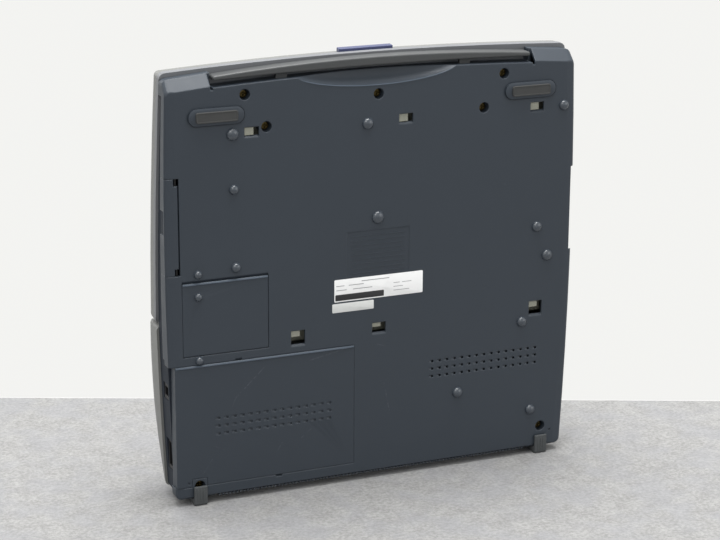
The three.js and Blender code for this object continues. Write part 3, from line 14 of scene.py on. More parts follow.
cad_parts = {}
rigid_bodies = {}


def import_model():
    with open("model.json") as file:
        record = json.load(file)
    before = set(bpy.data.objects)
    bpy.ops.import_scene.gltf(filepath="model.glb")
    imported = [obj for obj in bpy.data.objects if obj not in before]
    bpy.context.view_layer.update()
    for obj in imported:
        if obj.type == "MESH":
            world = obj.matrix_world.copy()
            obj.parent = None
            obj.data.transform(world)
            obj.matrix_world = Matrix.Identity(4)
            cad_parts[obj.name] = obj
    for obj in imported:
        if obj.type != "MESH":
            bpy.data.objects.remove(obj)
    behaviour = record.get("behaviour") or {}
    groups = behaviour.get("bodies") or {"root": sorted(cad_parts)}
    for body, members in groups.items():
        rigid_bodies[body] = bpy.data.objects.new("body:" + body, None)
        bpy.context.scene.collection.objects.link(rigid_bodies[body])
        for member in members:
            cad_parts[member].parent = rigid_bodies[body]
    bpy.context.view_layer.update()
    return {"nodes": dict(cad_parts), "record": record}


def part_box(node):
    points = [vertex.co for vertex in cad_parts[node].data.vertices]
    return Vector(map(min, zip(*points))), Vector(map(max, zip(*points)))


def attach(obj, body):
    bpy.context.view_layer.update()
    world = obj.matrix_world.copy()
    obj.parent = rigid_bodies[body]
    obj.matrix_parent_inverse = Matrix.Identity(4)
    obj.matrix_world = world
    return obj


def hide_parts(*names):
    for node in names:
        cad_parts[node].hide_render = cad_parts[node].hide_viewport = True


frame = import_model()

bl_info = {
    "name": "Portable word processor",
    "version": (1, 0, 0),
    "blender": (4, 5, 0),
    "location": "View3D > Sidebar > Word Processor",
    "description": "Dresses the CAD frame of a portable word processor with its finishes and small parts",
    "category": "Add Mesh",
}

MM = 0.001
# Radius of the soft edges of small trim, and depth of the plastics' pores
TRIM_EDGE = 0.1 * MM
PORE_DEPTH = 0.12 * MM

# The machine's own millimetres: x runs across, z up from the rear edge, and the underside is y = 0
SHIFT = Vector((0.0495, -30.0, 0.0))
DECK_HINGE = (0.0, 33.0, 160.0)
DECK_SLOPE = 15.0 / 211.0
SMALL_COVER_X = (-175.97, -99.57)
SMALL_COVER_Z = (134.7, 199.2)
POWER_COVER_X = (-183.8, -20.7)
POWER_COVER_TOP = 126.5
SMALL_DOME = 7.2
SMALL_DOME_X = SMALL_COVER_X[0] + 14.0
# The finger scallop is part of an ellipse round a point on the front edge
FRONT_Z = 371.0
SCALLOP_HALF = 76.8
SCALLOP_DEEP = 15.95
SCALLOP_ENDS = (radians(24.0), radians(156.0))

# Domes on the underside: place in the machine's x and z, and diameter
DOMES = (
    (-129.9, 323.6, 10.5),
    (-129.3, 276.5, 8.5),
    (-8.9, 322.5, 10.0),
    (0.9, 239.6, 11.0),
    (177.5, 323.6, 9.0),
    (154.3, 215.5, 9.5),
    (165.0, 188.1, 10.0),
    (-128.3, 208.9, 8.5),
    (141.8, 128.3, 9.5),
    (79.2, 69.5, 9.5),
    (152.4, 43.2, 9.0),
)

# Scratches on the underside: two ends in the machine's x and z, width, strength
SCRATCHES = (
    ((-131.0, 92.0), (-103.0, 118.0), 0.55, 0.55),
    ((-133.0, 86.0), (-129.0, 95.0), 0.5, 0.5),
    ((-62.0, 118.0), (-27.0, 125.0), 0.7, 0.45),
    ((-152.0, 40.0), (-160.0, 28.0), 0.5, 0.35),
    ((-70.0, 48.0), (-61.0, 55.0), 0.6, 0.3),
    ((-88.0, 46.0), (-93.0, 38.0), 0.6, 0.3),
    ((-150.0, 52.0), (-141.0, 47.0), 0.45, 0.35),
    ((8.0, 88.0), (13.0, 62.0), 0.6, 0.5),
    ((1.0, 125.0), (9.0, 122.0), 0.5, 0.3),
    ((146.0, 262.0), (155.0, 268.0), 0.5, 0.45),
    ((118.0, 258.0), (127.0, 257.0), 0.5, 0.3),
)


def spot(x, y, z):
    """A place in the machine's own millimetres, in the frame's metres."""
    return (Vector((x, y, z)) + SHIFT) * MM


MACHINE = Matrix.Translation(SHIFT * MM) @ Matrix.Scale(MM, 4)
DECK = MACHINE @ Matrix.Translation(DECK_HINGE) @ Matrix.Rotation(atan(DECK_SLOPE), 4, "X")


# Sizes and colours that a user would change


def shade(name, description, colour):
    return FloatVectorProperty(
        name=name, description=description, subtype="COLOR", size=3, min=0.0, max=1.0, default=colour
    )


def length(name, description, default):
    return FloatProperty(
        name=name, description=description, unit="LENGTH", subtype="DISTANCE", min=0.0, default=default
    )


class FinishColours(PropertyGroup):
    """Colours of the plastics, rubbers and metals."""

    tub: shade("Underside", "Blue-grey plastic of the tub and its covers", (0.029, 0.038, 0.050))
    deck: shade("Deck", "Dark plastic of the upper housing", (0.026, 0.032, 0.042))
    lid: shade("Lid", "Grey plastic of the lid and the printer cover", (0.180, 0.182, 0.174))
    bezel: shade("Bezel", "Plastic round the display", (0.180, 0.185, 0.195))
    # The latch's blue is paler than its own colour, carrying part of a painted highlight
    latch: shade("Latch", "Blue plastic of the latch button", (0.060, 0.070, 0.150))
    grip: shade("Handle", "Smooth plastic of the handle", (0.062, 0.065, 0.066))
    keys: shade("Keys", "Plastic of the key caps", (0.46, 0.46, 0.42))
    beige: shade("Inner plastic", "Plastic of the chassis behind the windows", (0.27, 0.27, 0.22))
    black: shade("Black plastic", "Plastic of sockets and small inner pieces", (0.012, 0.012, 0.013))
    pad: shade("Pads", "Rubber of the two front pads", (0.054, 0.055, 0.054))
    foot: shade("Stand feet", "Rubber of the two stand feet", (0.070, 0.075, 0.077))
    # The screws' metal is darkened near to black: painted shade of their deep counterbores
    brass: shade("Screws", "Passivated steel of the screws", (0.070, 0.052, 0.020))
    steel: shade("Steel", "Bright steel of shafts and frames", (0.42, 0.43, 0.45))
    label: shade("White label", "Paper of the large label", (0.94, 0.94, 0.93))
    foil: shade("Grey label", "Foil of the small label", (0.72, 0.73, 0.71))
    board: shade("Circuit board", "Solder mask of the main board", (0.02, 0.09, 0.035))
    floor: shade("Floor", "Speckled table top", (0.30, 0.297, 0.290))
    backdrop: shade("Backdrop", "Pale sheet behind the table", (0.90, 0.90, 0.88))


class CombSizes(PropertyGroup):
    """Teeth along the rear edge of the underside."""

    pitch: length("Pitch", "Distance from tooth to tooth", 3.2 * MM)
    tooth: length("Tooth", "Width of each tooth", 1.6 * MM)
    depth: length("Depth", "How far each tooth stands out of the rebate", 0.9 * MM)
    height: length("Height", "Height of each tooth", 5.5 * MM)
    count: IntProperty(name="Teeth", description="How many teeth stand in the rebate", min=2, default=92)


class TrimSizes(PropertyGroup):
    """Domes, ridges and beads on the underside."""

    dome_rise: length("Dome rise", "Height of the domes", 3.6 * MM)
    dome_edge: length("Dome edge", "How far a dome stands past the core that it covers", 0.15 * MM)
    ridge_rise: length("Ridge rise", "How far the ridges along the covers stand out", 1.1 * MM)
    ridge_tall: length("Ridge height", "Height of those ridges", 2.2 * MM)
    bead: length("Bead", "Radius of the bead round the finger scallop", 0.5 * MM)
    louvre: length("Louvre", "Width of the slat in each vent", 2.3 * MM)


class EdgeSizes(PropertyGroup):
    """Rounding of moulded edges."""

    moulded: length("Moulded edge", "Radius that catches light on the casing's edges", 1.5 * MM)
    cover: length("Cover edge", "Bevel round the clip-on covers", 0.7 * MM)
    foot: length("Foot edge", "Bevel round the stand feet", 3.2 * MM)


class StageSizes(PropertyGroup):
    """Table, backdrop and camera."""

    table_edge: length("Table edge", "From the machine to the line where the backdrop starts", 173.5 * MM)
    lens: FloatProperty(name="Lens", description="Focal length", unit="CAMERA", default=107.25)


# Node trees


class Tree:
    """Adds nodes to a node tree and links them."""

    def __init__(self, tree):
        self.tree = tree

    def node(self, kind, settings=None, values=None, out=0):
        """A node of a type, its settings made first, then its sockets' values or links; one output."""
        made = self.tree.nodes.new(kind)
        for key, value in (settings or {}).items():
            setattr(made, key, value)
        for key, value in (values or {}).items():
            socket = made.inputs[key]
            if isinstance(value, Wire):
                self.tree.links.new(value.socket, socket)
            elif value is not None:
                socket.default_value = value
        return Wire(self, made.outputs[out]) if len(made.outputs) else made


class Wire:
    """An output socket that takes part in Python arithmetic; each operation adds a Math node."""

    def __init__(self, owner, socket):
        self.owner, self.socket = owner, socket

    def maths(self, operation, *terms):
        return self.owner.node("ShaderNodeMath", {"operation": operation}, dict(enumerate(terms)))

    def __add__(self, other):
        return self.maths("ADD", self, other)

    def __sub__(self, other):
        return self.maths("SUBTRACT", self, other)

    def __rsub__(self, other):
        return self.maths("SUBTRACT", other, self)

    def __mul__(self, other):
        return self.maths("MULTIPLY", self, other)

    def __truediv__(self, other):
        return self.maths("DIVIDE", self, other)

    def __pow__(self, other):
        return self.maths("POWER", self, other)

    def low(self, other):
        return self.maths("MINIMUM", self, other)

    def high(self, other):
        return self.maths("MAXIMUM", self, other)

    __radd__ = __add__
    __rmul__ = __mul__


class Finish(Tree):
    """One material, on the object's own coordinates in metres."""

    def __init__(self, name):
        self.material = bpy.data.materials.new(name)
        self.material.use_nodes = True
        super().__init__(self.material.node_tree)
        self.tree.nodes.clear()
        self.place = self.node("ShaderNodeTexCoord", out="Object")

    def noise(self, scale, detail=2.0, roughness=0.5, at=None):
        values = {"Vector": at or self.place, "Scale": scale, "Detail": detail, "Roughness": roughness}
        return self.node("ShaderNodeTexNoise", None, values)

    def stretched(self, x, y, z):
        """The place with each axis scaled, for grain that runs one way."""
        return self.node("ShaderNodeMapping", None, {"Vector": self.place, "Scale": (x, y, z)})

    def axes(self):
        split = self.node("ShaderNodeSeparateXYZ", None, {0: self.place}).socket.node
        return [Wire(self, output) for output in split.outputs]

    def fade(self, value, low, high):
        """Runs smoothly from 0 at low to 1 at high."""
        values = {0: value, 1: low, 2: high, 3: 0.0, 4: 1.0}
        return self.node("ShaderNodeMapRange", {"interpolation_type": "SMOOTHSTEP"}, values)

    def blend(self, factor, first, second, how="MIX"):
        """Colour between two colours."""
        settings = {"data_type": "RGBA", "blend_type": how}
        colours = [c if isinstance(c, Wire) else (*c, 1.0) for c in (first, second)]
        return self.node("ShaderNodeMix", settings, {0: factor, 6: colours[0], 7: colours[1]}, out=2)

    def soft_edge(self, radius):
        """The surface normal with its edges rounded off."""
        return self.node("ShaderNodeBevel", {"samples": 6}, {"Radius": radius})

    def edge_mask(self, rounded):
        """Near 1 along edges, where the rounded normal leaves the true one."""
        true = self.node("ShaderNodeNewGeometry", out="Normal")
        settings = {"operation": "DOT_PRODUCT"}
        dot = self.node("ShaderNodeVectorMath", settings, {0: rounded, 1: true}, out="Value")
        return ((1.0 - dot) * 4.0).low(1.0)

    def bumped(self, height, strength, distance, normal=None):
        values = {"Height": height, "Strength": strength, "Distance": distance, "Normal": normal}
        return self.node("ShaderNodeBump", None, values)

    def surface(self, colour, roughness, normal=None, over=None, **fixed):
        """Ends the material with one shader, and another over it by a factor; fixed holds numbers."""
        base = colour if isinstance(colour, Wire) else (*colour, 1.0)
        values = {"Base Color": base, "Roughness": roughness, "Normal": normal}
        values |= {key.replace("_", " "): value for key, value in fixed.items()}
        shader = self.node("ShaderNodeBsdfPrincipled", None, values)
        if over:
            shader = self.node("ShaderNodeMixShader", None, {0: over[0], 1: shader, 2: over[1]})
        self.node("ShaderNodeOutputMaterial", None, {"Surface": shader})
        return self.material


def background_rays(tree):
    """1 for the rays that see the pale background: the camera's, and those of gloss and glass."""
    kinds = ("Is Camera Ray", "Is Glossy Ray", "Is Transmission Ray")
    camera, gloss, glass = [tree.node("ShaderNodeLightPath", out=kind) for kind in kinds]
    return camera.high(gloss).high(glass)


def colours():
    return bpy.context.scene.processor_colours


def moulded(name, colour, roughness, radius, grain=0.16, wear_and_highlight_share=0.25, level=0.4):
    """Fine-textured moulded plastic with softened edges, paled along them partly from rubbing and partly as
    a painted highlight.
    """
    finish = Finish(name)
    cloud = finish.noise(9.0, 4.0, 0.6)
    patch = finish.noise(60.0, 3.0, 0.55)
    pores = finish.noise(1500.0, 2.0, 0.7)
    rounded = finish.soft_edge(radius)
    edge_wear_and_highlight = finish.edge_mask(rounded)
    dark = finish.blend(1.0, colour, 1.0 + (cloud * 0.7 + patch * 0.3 - 0.5) * 0.16, "MULTIPLY")
    pale = tuple(min(1.0, c * 1.9 + 0.012) for c in colour)
    # Edges paled partly from rubbing, partly as a painted highlight where they would catch light
    tone = finish.blend(edge_wear_and_highlight * wear_and_highlight_share * patch, dark, pale)
    tone = finish.blend((pores - 0.5).high(0.0) * 0.25, tone, pale)
    gloss = roughness + (patch - 0.5) * 0.12 - edge_wear_and_highlight * 0.06
    normal = finish.bumped(pores, grain, PORE_DEPTH, rounded)
    return finish.surface(tone, gloss, normal, Specular_IOR_Level=level)


def scratch_mask(finish):
    """Thin pale lines on the underside, near 1 on a scratch."""
    x, _, z = finish.axes()
    patch = finish.noise(420.0, 2.0)
    total = None
    for (x0, z0), (x1, z1), wide, strength in SCRATCHES:
        start, end = spot(x0, 0, z0), spot(x1, 0, z1)
        run = end - start
        dx, dz = x - start.x, z - start.z
        along = ((dx * run.x + dz * run.z) / run.length_squared).high(0.0).low(1.0)
        off_x, off_z = dx - along * run.x, dz - along * run.z
        away = (off_x * off_x + off_z * off_z) ** 0.5
        line = finish.fade(away, 1.3 * wide * MM, 0.0) * finish.fade(patch, 0.35, 0.7) * (strength * 0.5)
        total = line if total is None else total.high(line)
    return total


@cache
def tub_plastic(radius=None):
    """Blue-grey plastic of the underside, with fine scratches; small pieces give a smaller radius."""
    finish = Finish("tub_plastic" if radius is None else "trim_plastic")
    colour = tuple(colours().tub)
    cloud = finish.noise(7.0, 4.0, 0.6)
    patch = finish.noise(70.0, 3.0, 0.55)
    pores = finish.noise(1300.0, 2.0, 0.7)
    rounded = finish.soft_edge(radius or bpy.context.scene.processor_edges.moulded)
    edge_wear_and_highlight = finish.edge_mask(rounded)
    tone = finish.blend(1.0, colour, 1.0 + (cloud * 0.6 + patch * 0.4 - 0.5) * 0.22, "MULTIPLY")
    pale = tuple(c * 2.4 + 0.03 for c in colour)
    # Edges paled partly from rubbing, partly as a painted highlight where they would catch light
    tone = finish.blend(edge_wear_and_highlight * patch * 0.5, tone, pale)
    tone = finish.blend((pores - 0.5).high(0.0) * 0.3, tone, pale)
    tone = finish.blend(scratch_mask(finish), tone, (0.20, 0.21, 0.23))
    gloss = 0.5 + (patch - 0.5) * 0.14 - edge_wear_and_highlight * 0.08
    normal = finish.bumped(pores, 0.18, PORE_DEPTH, rounded)
    return finish.surface(tone, gloss, normal, Specular_IOR_Level=0.45)


def trim_plastic():
    """The tub's plastic for pieces too small for its soft edges."""
    return tub_plastic(TRIM_EDGE)


@cache
def rubbed_plastic():
    """The tub's plastic on the ridges and the bead, paler than the tub partly from rubbing and partly as a
    painted highlight.
    """
    # About twice as pale as the tub: part rubbing, part painted highlight along the ridges and the bead
    pale = tuple(c * 2.1 for c in colours().tub)
    return moulded("rubbed_plastic", pale, 0.42, TRIM_EDGE, wear_and_highlight_share=0.5)


@cache
def dome_plastic():
    """The tub's plastic on the domes, polished by use, and a little paler as a painted highlight."""
    # A little paler than the tub: painted highlight on the domes
    colour = tuple(c * 1.15 for c in colours().tub)
    return moulded("dome_plastic", colour, 0.27, TRIM_EDGE, grain=0.05, level=0.85)


@cache
def rubber(name, colour):
    """Dull rubber with a fine grain and a few scuffs."""
    finish = Finish(name)
    patch = finish.noise(160.0, 4.0, 0.65)
    streak = finish.noise(60.0, 3.0, 0.6, finish.stretched(1.0, 1.0, 14.0))
    pores = finish.noise(2400.0, 2.0)
    rounded = finish.soft_edge(0.4 * MM)
    edge_wear_and_highlight = finish.edge_mask(rounded)
    tone = finish.blend(1.0, colour, 0.75 + patch * 0.3 + streak * 0.25, "MULTIPLY")
    # Edges paled partly from rubbing, partly as a painted highlight where they would catch light
    tone = finish.blend(edge_wear_and_highlight * 0.35, tone, tuple(c * 2.0 for c in colour))
    normal = finish.bumped(streak + pores * 0.4, 0.25, 0.0002, rounded)
    return finish.surface(tone, 0.72 + (patch - 0.5) * 0.2, normal, Specular_IOR_Level=0.3)


@cache
def metal(name, colour, roughness, brushed):
    """Metal with a brushed or turned grain and light stains."""
    finish = Finish(name)
    streak = finish.noise(900.0, 3.0, 0.6, finish.stretched(0.06, 1.0, 1.0))
    patch = finish.noise(120.0, 3.0, 0.6)
    tone = finish.blend(1.0, colour, 0.8 + patch * 0.4, "MULTIPLY")
    rough = roughness + (patch - 0.5) * 0.14 + (streak - 0.5) * brushed
    rounded = finish.soft_edge(0.15 * MM)
    return finish.surface(tone, rough, finish.bumped(streak, brushed, 0.00005, rounded), Metallic=1.0)


@cache
def paper(name, colour, roughness, sheen):
    """Printed label stock, slightly soiled."""
    finish = Finish(name)
    soil = finish.noise(55.0, 4.0, 0.7)
    fibre = finish.noise(900.0, 2.0)
    tone = finish.blend(finish.fade(soil, 0.52, 0.72) * 0.18, colour, tuple(c * 0.72 for c in colour))
    normal = finish.bumped(fibre, 0.05, 0.00005)
    return finish.surface(tone, roughness + (soil - 0.5) * 0.1, normal, Metallic=sheen)


@cache
def glass():
    """Dark display glass under a little dust."""
    finish = Finish("display_glass")
    dust = finish.noise(800.0, 2.0, 0.8)
    tone = finish.blend(finish.fade(dust, 0.6, 0.8) * 0.12, (0.020, 0.026, 0.024), (0.10, 0.11, 0.10))
    return finish.surface(tone, 0.34 + (dust - 0.5) * 0.08, Specular_IOR_Level=0.35)


@cache
def solder_mask():
    """Green board with darker traces."""
    finish = Finish("circuit_board")
    bricks = {"Scale": 140.0, "Mortar Size": 0.012, "Brick Width": 0.7, "Row Height": 0.22}
    settings = {"offset": 0.37, "squash": 1.7}
    lines = finish.node("ShaderNodeTexBrick", settings, {"Vector": finish.place} | bricks, out="Fac")
    green = tuple(colours().board)
    tone = finish.blend(lines, green, tuple(c * 2.2 for c in green))
    return finish.surface(tone, 0.38, finish.bumped(lines, 0.2, 0.0001))


@cache
def plastic(slot, colour, roughness):
    """Plain moulded plastic of a slot."""
    radius = {"grip_plastic": 0.6, "key_plastic": 0.2, "gear_plastic": 0.15}.get(slot, 0.5) * MM
    grain = 0.05 if slot in ("grip_plastic", "blue_plastic", "gear_plastic") else 0.14
    level = 0.12 if slot == "deck_plastic" else 0.4
    return moulded(slot, colour, roughness, radius, grain=grain, level=level)


def finish_of(slot):
    """The material that goes with a slot of the packed record."""
    c = colours()
    plain = {
        "deck_plastic": (c.deck, 0.62),
        "lid_plastic": (c.lid, 0.48),
        "bezel_plastic": (c.bezel, 0.5),
        "blue_plastic": (c.latch, 0.34),
        "key_plastic": (c.keys, 0.5),
        "gear_plastic": (c.keys, 0.42),
        "beige_plastic": (c.beige, 0.5),
        "grip_plastic": (c.grip, 0.42),
        "black_plastic": (c.black, 0.5),
    }
    if slot in plain:
        colour, roughness = plain[slot]
        return plastic(slot, tuple(colour), roughness)
    others = {
        "tub_plastic": (tub_plastic,),
        "display_panel": (glass,),
        "circuit_board": (solder_mask,),
        "pad_rubber": (rubber, "pad_rubber", tuple(c.pad)),
        "foot_rubber": (rubber, "foot_rubber", tuple(c.foot)),
        "black_rubber": (rubber, "black_rubber", (0.014, 0.014, 0.015)),
        "screw_brass": (metal, "screw_brass", tuple(c.brass), 0.3, 0.1),
        "steel": (metal, "bright_steel", tuple(c.steel), 0.34, 0.2),
        "can_metal": (metal, "plated_can", (0.50, 0.50, 0.49), 0.42, 0.12),
    }
    maker, *details = others[slot]
    return maker(*details)


# Pieces

slot_of = {row["node"]: row["material_slot"] for row in frame["record"]["subparts"]}
body_of = {node: body for body, nodes in frame["record"]["behaviour"]["bodies"].items() for node in nodes}


def add_object(name, mesh):
    made = bpy.data.objects.new(name, mesh)
    bpy.context.scene.collection.objects.link(made)
    return made


def mesh_of(name, work, matrix=MACHINE, smooth=radians(35)):
    """Turns a bmesh, in the machine's millimetres, into a mesh in the frame's metres."""
    bmesh.ops.transform(work, matrix=matrix, verts=work.verts)
    mesh = bpy.data.meshes.new(name)
    work.to_mesh(mesh)
    work.free()
    mesh.set_sharp_from_angle(angle=smooth)
    return mesh


def soft(work):
    """Marks every face of a bmesh smooth."""
    for face in work.faces:
        face.smooth = True
    return work


def closed(work):
    """Points the faces of a closed bmesh outwards and marks them smooth."""
    bmesh.ops.recalc_face_normals(work, faces=work.faces)
    return soft(work)


def settle(piece):
    """Applies what modifiers a piece has, so that it is one plain mesh."""
    graph = bpy.context.evaluated_depsgraph_get()
    mesh = bpy.data.meshes.new_from_object(piece.evaluated_get(graph), depsgraph=graph)
    piece.modifiers.clear()
    old, piece.data = piece.data, mesh
    mesh.name = piece.name
    bpy.data.meshes.remove(old)
    return piece


def coat(mesh, material):
    """Leaves a mesh with this one material."""
    mesh.materials.clear()
    mesh.materials.append(material)


def fit_out(piece, body, material, replaces=()):
    """Gives a finished piece its material and its body, and hides the CAD nodes that it replaces."""
    coat(piece.data, material)
    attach(piece, body)
    if replaces:
        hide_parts(*replaces)


def built(name, work, body, material, matrix=MACHINE, replaces=()):
    """Makes a piece from a bmesh in millimetres."""
    fit_out(add_object(name, mesh_of(name, work, matrix)), body, material, replaces)


def dressed(node, width=0.0, segments=2, smooth=32.0):
    """Stands for a CAD node with a merged copy, its edges rounded by width if given."""
    mesh = frame["nodes"][node].data.copy()
    work = bmesh.new()
    work.from_mesh(mesh)
    bmesh.ops.remove_doubles(work, verts=work.verts, dist=2e-6)
    bmesh.ops.dissolve_limit(work, angle_limit=radians(0.6), verts=work.verts, edges=work.edges)
    soft(work).to_mesh(mesh)
    work.free()
    mesh.set_sharp_from_angle(angle=radians(smooth))
    piece = add_object(node + "_skin", mesh)
    if width:
        bevel = piece.modifiers.new("edges", "BEVEL")
        bevel.width, bevel.segments, bevel.angle_limit = width, segments, radians(30.0)
        bevel.limit_method, bevel.harden_normals, bevel.use_clamp_overlap = "ANGLE", True, True
    else:
        even = piece.modifiers.new("even", "WEIGHTED_NORMAL")
        even.keep_sharp, even.weight = True, 90
    settle(piece)
    fit_out(piece, body_of[node], finish_of(slot_of[node]), [node])


def kept(*nodes):
    """Gives CAD nodes whose shape is right the material of their slot."""
    for node in nodes:
        coat(frame["nodes"][node].data, finish_of(slot_of[node]))


def outline(half_x, half_z, radius, steps, y=0.0, middle=(0.0, 0.0)):
    """Points round a rectangle with round corners, at a height y."""
    ring = []
    for turn, (sx, sz) in enumerate(((1, 1), (-1, 1), (-1, -1), (1, -1))):
        cx, cz = middle[0] + sx * (half_x - radius), middle[1] + sz * (half_z - radius)
        arc = [(turn + i / steps) * pi / 2 for i in range(steps + 1)]
        ring += [(cx + radius * cos(a), y, cz + radius * sin(a)) for a in arc]
    return ring


def add_box(work, size, turn):
    """Adds a box of a size to a bmesh, turned and moved by a matrix."""
    bmesh.ops.create_cube(work, size=1.0, matrix=turn @ Matrix.Diagonal((*size, 1.0)))


def block(size, middle, bevel):
    """Box with bevelled edges as a bmesh."""
    work = bmesh.new()
    add_box(work, size, Matrix.Translation(middle))
    bmesh.ops.bevel(work, geom=work.edges[:], offset=bevel, segments=2, affect="EDGES")
    return work


def strung(stations, loop=False):
    """Skin over a row of closed outlines, each a list of points, as a bmesh; a loop joins its ends."""
    work = bmesh.new()
    rings = [[work.verts.new(p) for p in ring] for ring in stations]
    count = len(rings[0])
    for a, b in zip(rings, rings[1:] + rings[:1] if loop else rings[1:]):
        for i in range(count):
            j = (i + 1) % count
            work.faces.new((a[i], a[j], b[j], b[i]))
    if not loop:
        work.faces.new(rings[0][::-1])
        work.faces.new(rings[-1])
    return closed(work)


def plate(x, y, z, radius, bevel, steps=4):
    """Flat plate with rounded corners as a bmesh; x and z are its limits and y its two faces."""
    half_x, half_z = (x[1] - x[0]) / 2, (z[1] - z[0]) / 2
    middle = (x[0] + half_x, z[0] + half_z)
    work = strung([outline(half_x, half_z, radius, steps, face, middle) for face in reversed(y)])
    rims = [edge for edge in work.edges if edge.verts[0].co.y == edge.verts[1].co.y]
    bmesh.ops.bevel(work, geom=rims, offset=bevel, segments=2, affect="EDGES", profile=0.5)
    return soft(work)


class Pattern(Tree):
    """A Geometry Nodes tree with named inputs, run on a mesh and settled into a plain mesh."""

    kinds = {
        int: "NodeSocketInt", float: "NodeSocketFloat",
        bpy.types.Material: "NodeSocketMaterial", bpy.types.Object: "NodeSocketObject",
    }

    def __init__(self, name, **sizes):
        super().__init__(bpy.data.node_groups.new(name, "GeometryNodeTree"))
        face = self.tree.interface
        face.new_socket("Geometry", in_out="INPUT", socket_type="NodeSocketGeometry")
        face.new_socket("Geometry", in_out="OUTPUT", socket_type="NodeSocketGeometry")
        self.ids, self.sizes = {}, sizes
        for key, value in sizes.items():
            socket = face.new_socket(key, in_out="INPUT", socket_type=self.kinds[type(value)])
            self.ids[key] = socket.identifier
        self.group = self.tree.nodes.new("NodeGroupInput")
        self.start = Wire(self, self.group.outputs[0])

    def size(self, name):
        return Wire(self, self.group.outputs[name])

    def template(self):
        """The shape of the object given as Template."""
        return self.node("GeometryNodeObjectInfo", None, {"Object": self.size("Template")}, out="Geometry")

    def close(self, geometry, push=None):
        """Realizes the copies, pushes their points if asked, sets the material and ends the tree."""
        real = self.node("GeometryNodeRealizeInstances", None, {0: geometry})
        if push:
            real = self.node("GeometryNodeSetPosition", None, {"Geometry": real, "Offset": push})
        done = self.node("GeometryNodeSetMaterial", None, {0: real, "Material": self.size("Material")})
        out = self.tree.nodes.new("NodeGroupOutput")
        self.tree.links.new(done.socket, out.inputs[0])

    def run(self, name, mesh):
        """Runs the tree on a mesh and gives the finished object."""
        piece = add_object(name, mesh)
        modifier = piece.modifiers.new(self.tree.name, "NODES")
        modifier.node_group = self.tree
        for key, value in self.sizes.items():
            modifier[self.ids[key]] = value
        return settle(piece)


def points_mesh(name, places, scale=None, **numbers):
    """Loose vertices at places in metres, each with its scale and its number under each name."""
    mesh = bpy.data.meshes.new(name)
    mesh.from_pydata([tuple(p) for p in places], [], [])
    for key, values in numbers.items():
        mesh.attributes.new(key, "FLOAT", "POINT").data.foreach_set("value", values)
    if scale:
        flat = [value for row in scale for value in row]
        mesh.attributes.new("scale", "FLOAT_VECTOR", "POINT").data.foreach_set("vector", flat)
    return mesh


def copies(name, template, places, body, material, scale=None, replaces=()):
    """Makes one piece of copies of a template at places, each scaled along x, y and z if asked."""
    source = add_object(name + "_template", template)
    pattern = Pattern(name + "_pattern", Template=source, Material=material)
    values = {"Points": pattern.start, "Instance": pattern.template()}
    if scale:
        settings = {"data_type": "FLOAT_VECTOR"}
        values["Scale"] = pattern.node("GeometryNodeInputNamedAttribute", settings, {"Name": "scale"})
    pattern.close(pattern.node("GeometryNodeInstanceOnPoints", None, values))
    piece = pattern.run(name, points_mesh(name + "_places", places, scale))
    bpy.data.objects.remove(source)
    fit_out(piece, body, material, replaces)


def turned(profile, sides=28):
    """Round solid about the y axis from (radius, y) points in millimetres, closed at both ends."""
    work = bmesh.new()
    rings = []
    for radius, y in profile:
        if radius == 0:
            rings.append([work.verts.new((0, y, 0))])
        else:
            turn = [2 * pi * i / sides for i in range(sides)]
            rings.append([work.verts.new((radius * cos(a), y, radius * sin(a))) for a in turn])
    for a, b in zip(rings, rings[1:]):
        for i in range(sides):
            j = (i + 1) % sides
            corner = [a[i % len(a)], a[j % len(a)], b[j % len(b)], b[i % len(b)]]
            work.faces.new(list(dict.fromkeys(corner)))
    return closed(work)


def limits(node):
    """Lowest and highest corners of a node in the machine's millimetres."""
    return [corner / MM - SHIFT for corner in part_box(node)]


def metres(work, name, smooth=radians(35)):
    """A bmesh drawn round the origin in millimetres as a template mesh in metres."""
    return mesh_of(name, work, Matrix.Scale(MM, 4), smooth)


def over(node, x, z, high=120.0):
    """Place straight below a high point on a node's upper surface, and the surface's normal there."""
    data = frame["nodes"][node].data
    faces = [list(face.vertices) for face in data.polygons]
    shell = BVHTree.FromPolygons([corner.co for corner in data.vertices], faces)
    place, normal, _, _ = shell.ray_cast(spot(x, high, z), Vector((0, -1, 0)))
    if place is None:
        raise RuntimeError(f"nothing of {node} lies at {x}, {z}")
    return place, normal


def laid(node, x, z):
    """Matrix that lays a piece drawn in millimetres, its face towards -y, on a node's upper surface."""
    place, normal = over(node, x, z)
    out = -normal if normal.y < 0 else normal
    across = Vector((1, 0, 0))
    turn = Matrix((-across, -out, across.cross(out).normalized())).transposed().to_4x4()
    return Matrix.Translation(place) @ turn @ Matrix.Scale(MM, 4)


# Operators


